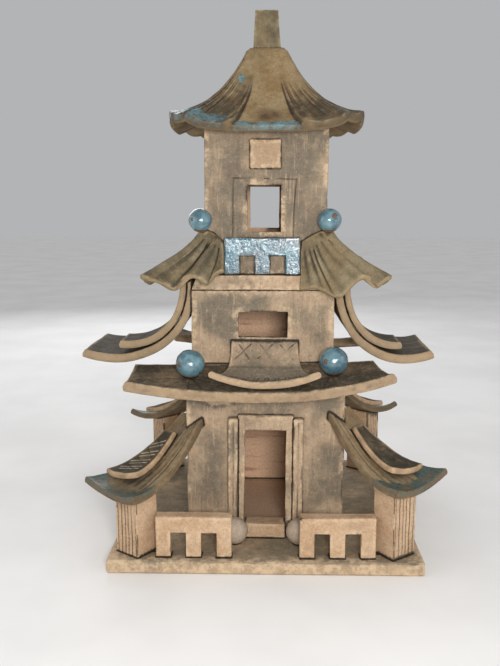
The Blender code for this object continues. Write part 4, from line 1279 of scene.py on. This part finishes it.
def add_flat_pieces():
    for number, (node, cell, slot, material, wash) in enumerate(FLAT_PIECES):
        obj = clay_copy("clay_" + node, node, cell * MM)
        mark_wall(obj, wash, 200 + 10 * number)
        if node == "base_slab":
            finish_base(obj.data)
        # Painted shadow: the tile's side faces are darkened fully, as a dark outline round it.
        if node == "square_tile":
            set_mark(obj.data, "dirt_and_shade", 1.0 * (np.abs(vertex_normals(obj.data)[:, 1]) < 0.75))
        wear(obj, creases=False)
        if node.startswith("door_jamb"):
            low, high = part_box(node)
            x = (low.x + high.x) / 2
            line = np.array([(x, low.y, low.z + 3 * MM), (x + 0.4 * MM, low.y, high.z - 3 * MM)])
            score(obj, [hand_warp(line)], 0.6 * MM, 0.5 * MM)
        place(obj, node, slot, material)


POST_X, POST_Y, POST_TURN, COMB_PITCH = 115.1 * MM, 108.8 * MM, math.radians(36), 4.4 * MM


def comb_post(mesh, sign_x, sign_y):
    """Upright grooves on a post's outward faces, a little uneven in their spacing and depth."""
    points, normals = positions(mesh), vertex_normals(mesh)
    turn = -sign_x * sign_y * POST_TURN
    x, y = points[:, 0] - sign_x * POST_X, points[:, 1] - sign_y * POST_Y
    across = x * math.cos(turn) + y * math.sin(turn)
    along = -x * math.sin(turn) + y * math.cos(turn)
    facing = normals[:, 0] * math.cos(turn) + normals[:, 1] * math.sin(turn)
    spread = np.where(np.abs(facing) > 0.5, along, across)
    spread = spread + 0.9 * MM * wave(spread, 130, 8) + 0.3 * MM * noise3(points, 60, 7)
    combed = smooth(0.35, 0.7, normals[:, 0] * sign_x)
    comb = np.cos(2 * np.pi * spread / COMB_PITCH)
    cut = smooth(0.3, 0.98, -comb) * combed * (0.55 + 0.45 * noise3(points * (1, 1, 0.15), 150, 9))
    set_positions(mesh, points - normals * (1.1 * MM * cut)[:, None])
    return combed, cut


def add_posts():
    for depth, sign_y in (("front", -1), ("rear", 1)):
        for side, sign_x in (("left", -1), ("right", 1)):
            node = f"corner_post_{depth}_{side}"
            obj = clay_copy("clay_" + node, node, (1.5 if depth == "front" else 2.2) * MM)
            combed, cut = comb_post(obj.data, sign_x, sign_y)
            mark_wall(obj, 0.1 + 0.3 * combed, 300)
            set_mark(obj.data, "dirt_and_shade", np.clip(0.9 * cut, 0, 1))
            wear(obj)
            place(obj, node, "bare_clay", "bare")


def add_glazed_rail():
    obj = clay_copy("glaze_rail", "glazed_rail", 2 * MM, 1.2 * MM)
    points = positions(obj.data)
    foot, rear = smooth(0, 3 * MM, 260 * MM - points[:, 2]), points[:, 1] > -59 * MM
    set_mark(obj.data, "bare", 0.25 * foot + 0.2 * rear)
    wear(obj)
    place(obj, "glazed_rail", "blue_glaze", "rail")


def add_dent(obj, node, centre, radius):
    """A ring pressed into a ball's front, with brown clay inside it."""
    aside, above, wide = (0.42, 0.42, 0.30) if node == "upper_ball_right" else (-0.75, 0.1, 0.22)
    ring = []
    for turn in np.linspace(0.3, 5.6, 9):
        spot = (aside + wide * math.cos(turn), -0.8, above + wide * math.sin(turn))
        ring.append(centre + radius * unit(np.array(spot)))
    seed = len(node) + int(centre[0] * 1000)
    score(obj, [hand_warp(np.array(ring))], 0.8 * MM, 0.35 * MM, jitter=0.3 * MM, seed=seed)
    mesh = obj.data
    away = np.linalg.norm(positions(mesh) - hand_warp(np.mean(ring, axis=0)[None]), axis=1) / radius
    inside = 0.8 * (1 - smooth(0.6 * wide, 1.1 * wide, away))
    set_mark(mesh, "bare", np.maximum(get_mark(mesh, "bare"), inside))


def add_ball(node, slot, material):
    low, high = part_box(node)
    centre, radius = np.array((low + high) / 2), (high.x - low.x) / 2
    centre[1:] = low.y + radius, high.z - radius
    bm = bmesh.new()
    bmesh.ops.create_icosphere(bm, subdivisions=5, radius=1.0)
    mesh = bpy.data.meshes.new("round_" + node)
    bm.to_mesh(mesh)
    bm.free()
    obj = add_object("round_" + node, mesh)
    way = positions(mesh)
    swell = 1 + 0.035 * noise3(way, 1.3, 400 + len(node)) + 0.012 * noise3(way, 4, 410)
    points = centre + way * (radius * swell)[:, None]
    points[:, 2] = np.maximum(points[:, 2], low.z + 0.1 * MM)
    set_positions(mesh, hand_warp(points))
    set_mark(mesh, "bare", 1 - smooth(-0.86, -0.66, way[:, 2]))
    set_mark(mesh, "wash", np.full(len(points), 0.4))
    wear(obj, 0.3)
    if material == "ball":
        add_dent(obj, node, centre, radius)
    place(obj, node, slot, material)


def add_balls():
    for group, slot, material in (
        ("door", "grey_clay", "grey"), ("middle", "blue_glaze", "ball"), ("upper", "blue_glaze", "ball"),
    ):
        for side in ("left", "right"):
            add_ball(f"{group}_ball_{side}", slot, material)


# The stage


def add_stage():
    floor = bpy.data.meshes.new("floor")
    floor.from_pydata([(-6, -6, 0), (6, -6, 0), (6, 6, 0), (-6, 6, 0)], [], [(0, 1, 2, 3)])
    t = Tree("pale_floor")
    tone = t.mix(t.ranged(t.noise(7, 3, 0.55), 0.3, 0.7), (238, 236, 234), (230, 228, 226))
    t.links.new(tone, t.shader.inputs["Base Color"])
    t.shader.inputs["Roughness"].default_value = 0.9
    floor.materials.append(t.material)
    add_object("floor", floor)


AIM = np.array((0, 0, 0.24))
# Area lights: name, place, width in metres, watts, colour
LIGHTS = (
    ("key", (0.07, -0.82, 0.36), 0.15, 4.4, (1, 0.98, 0.95)),
    ("fill_right", (1.1, -0.5, 0.5), 0.8, 2.5, (0.95, 0.97, 1)),
    ("fill_left", (-1.1, -0.2, 0.5), 0.8, 2.5, (0.97, 0.98, 1)),
    ("back", (-0.3, 1.2, 0.8), 0.9, 6, (0.97, 0.98, 1)),
)


def add_lights():
    for name, spot, size, power, colour in LIGHTS:
        data = bpy.data.lights.new(name, "AREA")
        data.shape = "RECTANGLE"
        data.size = data.size_y = size
        data.energy = power
        data.color = colour
        obj = add_object(name, data)
        obj.location = spot
        x, y, z = AIM - np.array(spot)
        obj.rotation_euler = (math.atan2(math.hypot(x, y), -z), 0, math.atan2(y, x) - math.pi / 2)
    data = bpy.data.lights.new("overhead", "SUN")
    data.energy = 0.3
    data.angle = math.radians(40)
    add_object("overhead", data)
    world = bpy.data.worlds.new("studio")
    bpy.context.scene.world = world
    world.use_nodes = True
    background = world.node_tree.nodes["Background"]
    background.inputs["Color"].default_value = (0.93, 0.95, 0.97, 1)
    background.inputs["Strength"].default_value = 0.48


def add_camera():
    """The photo's own view, solved from the base slab."""
    data = bpy.data.cameras.new("camera")
    data.sensor_width = 36
    data.lens = 39.51
    data.clip_start = 0.01
    obj = add_object("camera", data)
    obj.location = (0, -0.725, 0.323)
    obj.rotation_euler = (math.radians(90 - 10.2), 0, math.radians(1.25))
    bpy.context.scene.camera = obj


add_walls()
add_flat_pieces()
add_posts()
add_lower_wings()
add_skirts()
add_awning()
add_side_roofs()
add_upper_wings()
add_roof()
add_glazed_rail()
add_balls()
add_stage()
add_lights()
add_camera()
bpy.context.scene.view_settings.view_transform = "Standard"
